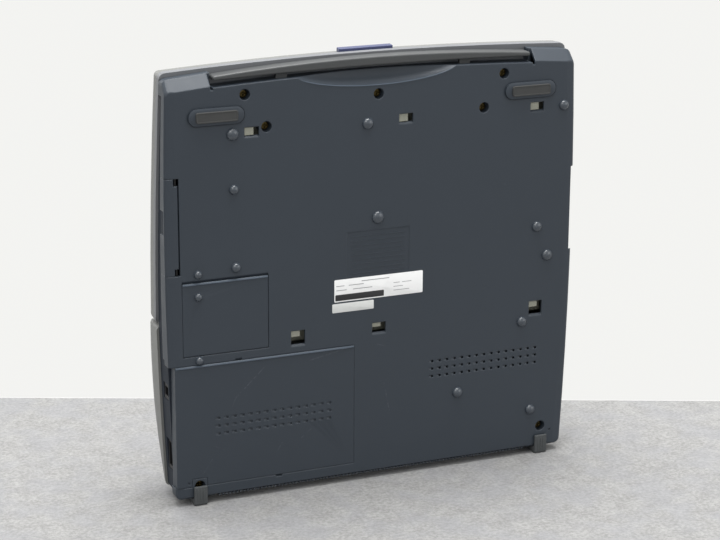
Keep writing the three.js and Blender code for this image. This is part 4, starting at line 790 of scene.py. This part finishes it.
class PROCESSOR_OT_stage(Operator):
    """Make the table, the backdrop, the lamps and the camera"""

    bl_idname = "processor.stage"
    bl_label = "Stage"

    # The camera's place in the machine's millimetres, and its axes
    camera_place = (-700.0, -1629.1, 725.6)
    camera_right = (0.92241, -0.38618, 0.00429)
    camera_up = (0.10743, 0.26724, 0.95762)
    camera_back = (-0.37096, -0.88287, 0.28799)
    floor_half = 12.0
    # Each lamp's name, place, aim, width and power
    lamps = (
        ("key", (-1.3, -1.5, 2.1), (0.0, 0.0, 0.2), 1.5, 18.0),
        ("fill", (1.9, -1.9, 1.1), (0.0, 0.0, 0.2), 1.8, 10.0),
        ("top", (0.1, 0.1, 2.4), (0.0, 0.0, 0.1), 1.8, 84.0),
        ("rear", (-1.2, 2.0, 1.2), (0.0, 0.0, 0.2), 1.6, 12.0),
    )

    def execute(self, context):
        sizes = context.scene.processor_stage
        turn = Matrix((self.camera_right, self.camera_up, self.camera_back)).transposed().to_4x4()
        data = bpy.data.cameras.new("camera")
        data.lens, data.sensor_width, data.clip_start, data.clip_end = sizes.lens, 36.0, 0.05, 50.0
        camera = bpy.data.objects.new("camera", data)
        context.scene.collection.objects.link(camera)
        camera.matrix_world = Matrix.Translation(spot(*self.camera_place)) @ turn
        context.scene.camera = camera
        self.make_floor(sizes)
        for lamp in self.lamps:
            self.light(*lamp)
        world = bpy.data.worlds.new("studio")
        world.use_nodes = True
        context.scene.world = world
        tree = Tree(world.node_tree)
        world.node_tree.nodes.clear()
        seen = background_rays(tree)
        ambient = tree.node("ShaderNodeBackground", None, {0: (0.97, 0.985, 1.0, 1.0), 1: 0.62})
        white = tree.node("ShaderNodeBackground", None, {0: (0.90, 0.90, 0.885, 1.0), 1: 1.0})
        mixed = tree.node("ShaderNodeMixShader", None, {0: seen, 1: ambient, 2: white})
        tree.node("ShaderNodeOutputWorld", None, {0: mixed})
        context.scene.view_settings.view_transform = "Standard"
        return {"FINISHED"}

    def light(self, name, place, aim, size, power):
        data = bpy.data.lights.new(name, "AREA")
        data.shape, data.size, data.energy = "DISK", size, power
        lamp = bpy.data.objects.new(name, data)
        bpy.context.scene.collection.objects.link(lamp)
        lamp.location = place
        lamp.rotation_euler = (Vector(aim) - Vector(place)).to_track_quat("-Z", "Y").to_euler()

    def make_floor(self, sizes):
        """One flat floor: speckled table as far as a line behind the machine, pale beyond it."""
        c = colours()
        heading = -Vector(self.camera_back[:2]).normalized()
        work = bmesh.new()
        bmesh.ops.create_grid(work, x_segments=1, y_segments=1, size=self.floor_half)
        mesh = bpy.data.meshes.new("table")
        work.to_mesh(mesh)
        work.free()
        table = add_object("table", mesh)
        finish = Finish("table_and_backdrop")
        x, y, _ = finish.axes()
        ahead = x * heading.x + y * heading.y
        beyond = finish.fade(ahead, sizes.table_edge - 1.5 * MM, sizes.table_edge + 1.5 * MM)
        speck = finish.fade(finish.noise(300.0, 4.0, 0.75), 0.3, 0.7)
        cloud = finish.noise(60.0, 5.0, 0.7)
        tone = finish.blend(1.0, tuple(c.floor), 0.42 + speck * 0.42 + cloud * 0.72, "MULTIPLY")
        stain = finish.fade(finish.noise(26.0, 3.0), 0.4, 0.65)
        tone = finish.blend(stain * 0.4, tone, (0.28, 0.283, 0.30))
        pale = tuple(c.backdrop)
        sheet = finish.node("ShaderNodeEmission", None, {"Color": (*pale, 1.0), "Strength": 1.0})
        seen = background_rays(finish) * beyond
        finish.surface(finish.blend(beyond, tone, pale), 0.6, over=(seen, sheet), Specular_IOR_Level=0.2)
        mesh.materials.append(finish.material)


class PROCESSOR_OT_underside(Operator):
    """Dress the tub and its covers"""

    bl_idname = "processor.underside"
    bl_label = "Underside"

    catch_size = (0.5, 7.6, 20.2)
    catch_middle = (-188.6, 8.1, 252.0)

    def execute(self, context):
        edges = context.scene.processor_edges
        dressed("base_casing", smooth=18.0)
        dressed("option_bay_cover", edges.cover)
        dressed("power_unit_cover")
        dressed("port_door")
        self.door_catch()
        coat(frame["nodes"]["port_door_pin"].data, finish_of("black_plastic"))
        kept("inner_chassis", "io_connectors", "main_board", "backup_battery")
        kept("power_supply", "floppy_drive", "eject_button", "mains_inlet", "line_jack", "power_switch")
        return {"FINISHED"}

    def door_catch(self):
        """Dark pad on the floor of the finger recess in the port door's side, its dark plastic painting the
        shade in the recess.
        """
        work = block(self.catch_size, self.catch_middle, bevel=0.2)
        built("door_catch", work, body_of["port_door"], finish_of("deck_plastic"))


class PROCESSOR_OT_domes(Operator):
    """Put a full dome over each low dome of the underside"""

    bl_idname = "processor.domes"
    bl_label = "Domes"

    def execute(self, context):
        between = (SMALL_COVER_Z[0] + POWER_COVER_TOP) / 2
        above, below = SMALL_COVER_Z[1] + SMALL_DOME, SMALL_COVER_Z[1] - 1.7 * SMALL_DOME
        small = [(SMALL_DOME_X, z, SMALL_DOME) for z in (between, above, below)]
        self.dome_row("tub_domes", [*DOMES, *small[:2]], "base")
        self.dome_row("option_cover_dome", small[2:], body_of["option_bay_cover"])
        return {"FINISHED"}

    def dome_row(self, name, domes, body):
        """Domes from one template of radius 1 mm, each widened to its own size."""
        trim = bpy.context.scene.processor_trim
        rise, edge, sunk = trim.dome_rise / MM, trim.dome_edge / MM, 0.4
        arc = [radians(90 * i / 7) for i in range(8)]
        work = turned([(sin(a), -rise * cos(a)) for a in arc] + [(1.0, sunk), (0, sunk)])
        places = [spot(x, 0, z) for x, z, _ in domes]
        scales = [(wide / 2 + edge, 1.0, wide / 2 + edge) for _, _, wide in domes]
        copies(name, metres(work, "dome"), places, body, dome_plastic(), scales)


class PROCESSOR_OT_ridges(Operator):
    """Run a tapered ridge along the upper edge of both clip-on covers, and a bead round the scallop"""

    bl_idname = "processor.ridges"
    bl_label = "Ridges and beads"

    def execute(self, context):
        self.ridge("option_cover_ridge", SMALL_COVER_X, SMALL_COVER_Z[1], "option_bay_cover")
        self.ridge("power_cover_ridge", POWER_COVER_X, POWER_COVER_TOP, "power_unit_cover")
        self.bead()
        return {"FINISHED"}

    def ridge(self, name, x, top, node):
        """Wedge whose sloping face looks up and out, fading into the cover at both ends."""
        trim = bpy.context.scene.processor_trim
        rise, tall = trim.ridge_rise / MM, trim.ridge_tall / MM
        stations, steps, fade, margin, root, face = [], 24, 3.5, 0.4, 0.2, -0.05
        for i in range(steps + 1):
            at = x[0] + margin + (x[1] - x[0] - 2 * margin) * i / steps
            out = rise * min(1.0, min(at - x[0], x[1] - at) / fade) ** 0.5
            section = (
                (root, top - tall), (face, top - tall), (face - 0.7 * out, top - 0.8 * tall),
                (face - out, top - 0.6 * tall), (face - 0.75 * out, top - 0.32 * tall),
                (2 * face, top + face), (root, top + face),
            )
            stations.append([(at, y, z) for y, z in section])
        built(name, strung(stations), body_of[node], rubbed_plastic())

    def bead(self):
        """Round bar along the rim where the scallop meets the underside."""
        radius = bpy.context.scene.processor_trim.bead / MM
        half, deep = SCALLOP_HALF - 0.4, SCALLOP_DEEP - 0.1
        stations, steps, sides = [], 48, 8
        ring = [2 * pi * k / sides for k in range(sides)]
        for i in range(steps + 1):
            turn = SCALLOP_ENDS[0] + (SCALLOP_ENDS[1] - SCALLOP_ENDS[0]) * i / steps
            middle = Vector((half * cos(turn), 0.0, FRONT_Z - deep * sin(turn)))
            out = Vector((cos(turn) / half, 0.0, -sin(turn) / deep)).normalized()
            thick = radius * min(1.0, 0.25 + 6.0 * min(i, steps - i) / steps)
            up = Vector((0.0, thick, 0.0))
            stations.append([middle + out * thick * cos(a) + up * sin(a) for a in ring])
        built("scallop_bead", strung(stations), "base", rubbed_plastic())


class PROCESSOR_OT_vents(Operator):
    """Set a slat in each vent slot, and in each dimple of the power cover"""

    bl_idname = "processor.vents"
    bl_label = "Vent slats"

    # First slot's x and z in the tub and in the cover, and the slots' pitch and count along x and z
    tub_start = (53.28, 88.0)
    cover_start = (-146.2, 62.6)
    pitch = (7.28, 7.0)
    count = (15, 3)

    def execute(self, context):
        self.grid("vent_slats", *self.tub_start, "base")
        self.grid("cover_slats", *self.cover_start, body_of["power_unit_cover"])
        return {"FINISHED"}

    def grid(self, name, x, z, body):
        """Rows of slats whose faces look up; the slot stays open beside each one."""
        left, half, front, back = -2.15, 1.15, -0.12, 1.05
        right = left + bpy.context.scene.processor_trim.louvre / MM
        section = ((front, -half), (0.8, half), (back, half), (back, -half))
        work = strung([[(end, y, up) for y, up in section] for end in (left, right)])
        slat = metres(work, "slat", radians(20))
        (across, columns), (along, rows) = zip(self.pitch, self.count)
        places = [spot(x + across * i, 0, z + along * j) for i in range(columns) for j in range(rows)]
        copies(name, slat, places, body, trim_plastic())


class PROCESSOR_OT_labels(Operator):
    """Put two plain labels on the underside"""

    bl_idname = "processor.labels"
    bl_label = "Labels"

    def execute(self, context):
        c = colours()
        white = paper("white_label", tuple(c.label), 0.42, 0.0)
        foil = paper("grey_label", tuple(c.foil), 0.4, 0.15)
        ink = paper("black_ink", (0.018, 0.018, 0.020), 0.4, 0.0)
        for name, x, y, z, material in (
            ("white_label", (-39.3, 43.8), (-0.18, 0.02), (167.5, 187.5), white),
            ("label_bar", (-38.5, 7.0), (-0.24, -0.17), (168.5, 174.0), ink),
            ("grey_label", (-41.2, -2.5), (-0.16, 0.02), (158.0, 166.0), foil),
        ):
            built(name, plate(x, y, z, radius=0.8, bevel=0.03), "base", material)
        return {"FINISHED"}


class PROCESSOR_OT_rules(Operator):
    """Draw plain ruled lines on the large label and in the recessed panel"""

    bl_idname = "processor.rules"
    bl_label = "Ruled lines"

    # First and last x, z, and height of each grey line on the label
    label_lines = (
        ((-14.0, 12.0), 184.0, 0.7),
        ((-37.5, -30.0), 181.4, 0.6),
        ((-26.0, -12.0), 181.4, 0.6),
        ((-37.5, -28.0), 177.6, 0.6),
        ((-22.0, -4.0), 177.6, 0.6),
        ((16.0, 22.0), 179.0, 0.5),
        ((24.0, 33.0), 179.0, 0.5),
        ((16.0, 25.0), 175.6, 0.5),
        ((16.0, 31.0), 172.2, 0.5),
    )
    panel_lines = 9
    panel_first = 191.0
    panel_pitch = 4.1
    line_size = (50.0, 0.9, 0.9)
    line_middle = (1.5, 0.55, 0.45)

    def execute(self, context):
        work, y, thick = bmesh.new(), -0.19, 0.04
        for (left, right), z, tall in self.label_lines:
            middle = Matrix.Translation(((left + right) / 2, y, z + tall / 2))
            add_box(work, (right - left, thick, tall), middle)
        built("label_rules", work, "base", paper("grey_ink", (0.30, 0.30, 0.31), 0.5, 0.0))
        self.panel_rules()
        return {"FINISHED"}

    def panel_rules(self):
        """Low raised lines across the recessed panel."""
        line = metres(block(self.line_size, self.line_middle, bevel=0.2), "line")
        places = [spot(0, 0, self.panel_first + i * self.panel_pitch) for i in range(self.panel_lines)]
        copies("panel_rules", line, places, "base", trim_plastic())


class PROCESSOR_OT_comb(Operator):
    """Stand the row of teeth in the rebate along the rear edge"""

    bl_idname = "processor.comb"
    bl_label = "Rear comb"

    # The tub's rear face in millimetres, and how far the teeth stay inside it
    rear_face = 6
    inside = 0.05 * MM

    def execute(self, context):
        sizes = context.scene.processor_comb
        keys = ("Pitch", "Tooth", "Height", "Depth")
        lengths = {key: getattr(sizes, key.lower()) for key in keys}
        pattern = Pattern("rear_comb", Teeth=sizes.count, **lengths, Material=tub_plastic())
        step = pattern.node("ShaderNodeCombineXYZ", None, {0: pattern.size("Pitch")})
        run = {"Count": pattern.size("Teeth"), "Offset": step}
        line = pattern.node("GeometryNodeMeshLine", {"mode": "OFFSET"}, run)
        sides = [pattern.size(key) for key in keys[1:]]
        size = pattern.node("ShaderNodeCombineXYZ", None, dict(enumerate(sides)))
        tooth = pattern.node("GeometryNodeMeshCube", None, {"Size": size})
        spread = pattern.node("GeometryNodeInstanceOnPoints", None, {"Points": line, "Instance": tooth})
        half = (sizes.count - 1) * sizes.pitch / 2
        first = Vector((-half, sizes.height / 2, sizes.depth / 2 + self.inside))
        start = spot(0, 0, self.rear_face) + first
        move = {"Geometry": spread, "Translation": start}
        pattern.close(pattern.node("GeometryNodeTransform", None, move))
        piece = pattern.run("rear_comb", bpy.data.meshes.new("rear_comb_start"))
        fit_out(piece, "base", tub_plastic())
        return {"FINISHED"}


class PROCESSOR_OT_screws(Operator):
    """Make the seven case screws with their cross recesses"""

    bl_idname = "processor.screws"
    bl_label = "Case screws"

    # Length, twice the depth, and width of each bar of the cross
    recess = (4.2, 2.6, 0.9)

    def execute(self, context):
        nodes = [node for node in body_of if node.startswith("case_screw")]
        boxes = [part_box(node) for node in nodes]
        head = min(low.y for low, _ in boxes)
        places = [Vector(((low.x + high.x) / 2, head, (low.z + high.z) / 2)) for low, high in boxes]
        screw = self.screw((boxes[0][1].y - head) / MM)
        brass = finish_of("screw_brass")
        copies("case_screws", screw, places, "base", brass, replaces=nodes)
        return {"FINISHED"}

    def screw(self, long):
        """Template of one screw: a low head over a shank, with a cross cut into the head."""
        face = [(0, 0.1), (2.2, 0.02), (3.2, 0.3), (3.7, 1.0), (3.7, 2.3)]
        shank = [(1.5, 2.3), (1.5, long), (0, long)]
        tool = bmesh.new()
        for turn in (0, pi / 2):
            add_box(tool, self.recess, Matrix.Rotation(turn, 4, "Y"))
        cutter = add_object("screw_recess", metres(tool, "screw_recess"))
        whole = add_object("screw_whole", metres(turned(face + shank), "case_screw_template"))
        cut = whole.modifiers.new("recess", "BOOLEAN")
        cut.object, cut.operation, cut.solver, cut.use_self = cutter, "DIFFERENCE", "EXACT", True
        template = settle(whole).data
        for used in (cutter, whole):
            bpy.data.objects.remove(used)
        return template


class PROCESSOR_OT_feet(Operator):
    """Round off the pads and the stand feet"""

    bl_idname = "processor.feet"
    bl_label = "Pads and feet"

    def execute(self, context):
        edges = context.scene.processor_edges
        for side in ("left", "right"):
            self.mound(side)
            self.pad(side)
            dressed("stand_foot_" + side, edges.foot, 6)
        for side in ("left", "right"):
            self.foot_ribs(side)
        return {"FINISHED"}

    def mound(self, side):
        """Long low rise with round ends that carries the pad."""
        low, high = limits("rubber_pad_" + side)
        x, z, half, tall = (low.x + high.x) / 2, (low.z + high.z) / 2, 24.6, 7.6
        limits_x, limits_z = (x - half, x + half), (z - tall, z + tall)
        work = plate(limits_x, (-2.1, 0.2), limits_z, radius=7.5, bevel=1.6, steps=8)
        built("pad_mound_" + side, work, "base", trim_plastic())

    def pad(self, side):
        """Rubber block whose face lies a little below its border."""
        node = "rubber_pad_" + side
        x, y, z = zip(*limits(node))
        work = plate(x, y, z, radius=1.8, bevel=0.35)
        face = min(work.faces, key=lambda f: f.calc_center_median().y)
        bmesh.ops.inset_region(work, faces=[face], thickness=0.6, depth=0.0)
        bmesh.ops.inset_region(work, faces=[face], thickness=0.25, depth=-0.3)
        slot = slot_of[node]
        built(node + "_skin", work, body_of[node], finish_of(slot), replaces=[node])

    def foot_ribs(self, side):
        """Upright ribs on the outer face of a stand foot, fading out at both ends."""
        node, name = "stand_foot_" + side, "foot_ribs_" + side
        low, high = limits(node)
        start, end, steps, half, pitch = low.z + 2.6, high.z - 2.2, 10, 0.9, 2.6
        stations = []
        for i in range(steps + 1):
            z, out = start + (end - start) * i / steps, 0.45 * sin(pi * i / steps) ** 0.4 + 0.02
            section = ((-half, 0.2), (-half / 2, -out), (half / 2, -out), (half, 0.2))
            stations.append([(x, low.y + y, z) for x, y in section])
        places = [spot((low.x + high.x) / 2 + pitch * i, 0, 0) for i in (-1, 0, 1)]
        rib, slot = metres(strung(stations), "rib"), slot_of[node]
        copies(name, rib, places, body_of[node], finish_of(slot))


class PROCESSOR_OT_lid(Operator):
    """Dress the lid, its display and its latch"""

    bl_idname = "processor.lid"
    bl_label = "Lid"

    def execute(self, context):
        dressed("display_back")
        dressed("display_bezel")
        dressed("latch_button", 0.6 * MM)
        kept("lcd_panel", "latch_hook", "lid_hinge_pin_left", "lid_hinge_pin_right")
        return {"FINISHED"}


class PROCESSOR_OT_printer(Operator):
    """Dress the printer cover and the mechanism under it"""

    bl_idname = "processor.printer"
    bl_label = "Printer"

    def execute(self, context):
        dressed("printer_cover")
        dressed("platen_roller")
        dressed("guide_rail")
        kept("printer_cover_rod", "printer_frame")
        kept("platen_gear", "idler_gear", "motor_pinion", "feed_motor")
        kept("carriage", "ribbon_cassette", "timing_belt")
        kept("motor_pulley", "idler_pulley", "carriage_motor")
        return {"FINISHED"}


class PROCESSOR_OT_upper(Operator):
    """Put a bare badge and finger ribs on the lid, and a paper slot on the printer cover"""

    bl_idname = "processor.upper"
    bl_label = "Upper side"

    # Places along the machine's z, in millimetres
    badge_z = 196.0
    ribs_z = 346.0
    rib_pitch = 3.4
    rib_count = 6
    slot_z = 84.0

    def execute(self, context):
        self.badge()
        self.ribs()
        self.paper_slot()
        return {"FINISHED"}

    def badge(self):
        """Bare metal plate near the lid's hinge."""
        work = plate((-26.0, 26.0), (-0.35, 0.3), (-5.0, 5.0), radius=2.5, bevel=0.25, steps=5)
        silver = metal("badge_metal", (0.40, 0.41, 0.42), 0.42, 0.15)
        here = laid("display_back", 0.0, self.badge_z)
        built("lid_badge", work, body_of["display_back"], silver, matrix=here)

    def ribs(self):
        """Rows of low finger ribs below the latch."""
        work = plate((-30.0, 30.0), (-0.5, 0.3), (-0.6, 0.6), radius=0.55, bevel=0.3)
        rib = metres(work, "lid_rib", pi)
        first = laid("display_back", 0.0, self.ribs_z)
        rib.transform(first.to_3x3().normalized().to_4x4())
        heights = [self.ribs_z + self.rib_pitch * i for i in range(self.rib_count)]
        places = [over("display_back", 0.0, z)[0] for z in heights]
        body, slot = body_of["display_back"], "lid_plastic"
        copies("lid_ribs", rib, places, body, finish_of(slot))

    def paper_slot(self):
        """Raised rim round a black plate that paints the shade of the slot where the paper comes out."""
        here = laid("printer_cover", 0.0, self.slot_z)
        body = body_of["printer_cover"]
        work = plate((-122.0, 122.0), (-0.25, 0.4), (-3.2, 3.2), radius=1.5, bevel=0.1)
        built("paper_slot", work, body, finish_of("black_plastic"), here)
        half, tall, wide = 124.6, 5.8, 2.6
        rising = ((0.0, 0.4), (0.15, -0.55), (0.5, -0.85))
        profile = (*rising, *((wide - inset, y) for inset, y in reversed(rising)))
        rim = strung([outline(half - i, tall - i, wide - i, 5, y) for i, y in profile], loop=True)
        built("paper_slot_rim", rim, body, finish_of("lid_plastic"), here)


class PROCESSOR_OT_handle(Operator):
    """Make the handle"""

    bl_idname = "processor.handle"
    bl_label = "Handle"

    def execute(self, context):
        dressed("handle_grip", 1.6 * MM, 4)
        kept("handle_arm_left", "handle_arm_right")
        return {"FINISHED"}


class PROCESSOR_OT_deck(Operator):
    """Dress the upper housing and the keyboard"""

    bl_idname = "processor.deck"
    bl_label = "Deck and keys"

    # Widths of each row's keys, in units of one letter key
    rows = {
        "function": [1.0] * 15,
        "number": [*[1.0] * 13, 2.0],
        "upper": [1.5, *[1.0] * 12, 1.5],
        "home": [1.8, *[1.0] * 11, 2.2],
        "lower": [2.3, *[1.0] * 10, 2.7],
        "space": [1.5, 1.25, 1.25, 7.0, 1.25, 1.25, 1.5],
    }
    # Millimetres on the deck: half of a row, the first row's place, and sizes of the rows and caps
    row_half = 141.0
    first_row = 36.0
    row_pitch = 17.0
    cap_deep = 15.0
    cap_gap = 2.4

    def execute(self, context):
        dressed("top_deck")
        kept("keyboard_tray")
        for i, (row, widths) in enumerate(self.rows.items()):
            self.key_row(row, widths, self.first_row + i * self.row_pitch)
        return {"FINISHED"}

    def key_row(self, row, widths, v):
        """Caps of one row: the middle of a template is stretched to each key's width."""
        unit = 2 * self.row_half / sum(widths)
        source = add_object("cap_" + row, metres(self.cap(unit - self.cap_gap), "cap_" + row))
        material = finish_of("key_plastic")
        tree = Pattern("caps_" + row, Template=source, Material=material)
        local_x = tree.node("ShaderNodeSeparateXYZ", None, {0: tree.node("GeometryNodeInputPosition")})
        marks = {"Geometry": tree.template(), "Name": "local_x", "Value": local_x}
        per_point = {"data_type": "FLOAT", "domain": "POINT"}
        marked = tree.node("GeometryNodeStoreNamedAttribute", per_point, marks)
        spread = tree.node("GeometryNodeInstanceOnPoints", None, {"Points": tree.start, "Instance": marked})
        extra, side = [
            tree.node("GeometryNodeInputNamedAttribute", {"data_type": "FLOAT"}, {"Name": name})
            for name in ("extra", "local_x")
        ]
        tree.close(spread, tree.node("ShaderNodeCombineXYZ", None, {0: side.maths("SIGN", side) * extra}))
        left, places, extras = self.row_half, [], []
        for width in widths:
            places.append(Vector((left - width * unit / 2, 0, v + self.cap_deep / 2)) * MM)
            extras.append((width - 1) * unit / 2 * MM)
            left -= width * unit
        piece = tree.run("keys_" + row, points_mesh("keys_" + row, places, extra=extras))
        piece.data.transform(DECK @ Matrix.Scale(1 / MM, 4))
        bpy.data.objects.remove(source)
        fit_out(piece, "keys_" + row, material, ["key_row_" + row])

    def cap(self, wide):
        """A key cap with slanting sides, drawn round its middle; each height has its own inset."""
        stations = []
        for y, inset in ((-5.8, 0.0), (-4.8, 0.0), (-1.9, 1.0), (-1.2, 1.3), (-1.05, 1.75)):
            half_z = self.cap_deep / 2 - inset * 0.8
            stations.append(outline(wide / 2 - inset, half_z, 1.0 + inset * 0.3, 3, y))
        return strung(stations)


class PROCESSOR_PT_panel(Panel):
    """Lists the steps that dress the machine"""

    bl_label = "Word Processor"
    bl_idname = "PROCESSOR_PT_panel"
    bl_space_type = "VIEW_3D"
    bl_region_type = "UI"
    bl_category = "Word Processor"

    def draw(self, context):
        for step in STEPS:
            self.layout.operator(step.bl_idname)
        for group in GROUPS:
            column = self.layout.column()
            column.label(text=group.__doc__)
            for key in group.__annotations__:
                column.prop(getattr(context.scene, GROUPS[group]), key)


GROUPS = {
    FinishColours: "processor_colours",
    CombSizes: "processor_comb",
    TrimSizes: "processor_trim",
    EdgeSizes: "processor_edges",
    StageSizes: "processor_stage",
}
STEPS = (
    PROCESSOR_OT_stage,
    PROCESSOR_OT_underside,
    PROCESSOR_OT_domes,
    PROCESSOR_OT_ridges,
    PROCESSOR_OT_vents,
    PROCESSOR_OT_labels,
    PROCESSOR_OT_rules,
    PROCESSOR_OT_comb,
    PROCESSOR_OT_screws,
    PROCESSOR_OT_feet,
    PROCESSOR_OT_handle,
    PROCESSOR_OT_lid,
    PROCESSOR_OT_printer,
    PROCESSOR_OT_upper,
    PROCESSOR_OT_deck,
)


def register():
    for kind in (*GROUPS, *STEPS, PROCESSOR_PT_panel):
        bpy.utils.register_class(kind)
    for group, name in GROUPS.items():
        setattr(bpy.types.Scene, name, PointerProperty(type=group))


def unregister():
    for name in GROUPS.values():
        delattr(bpy.types.Scene, name)
    for kind in (PROCESSOR_PT_panel, *reversed(STEPS), *reversed(GROUPS)):
        bpy.utils.unregister_class(kind)


def main():
    register()
    for step in STEPS:
        family, name = step.bl_idname.split(".")
        getattr(getattr(bpy.ops, family), name)()


if __name__ == "__main__":
    main()
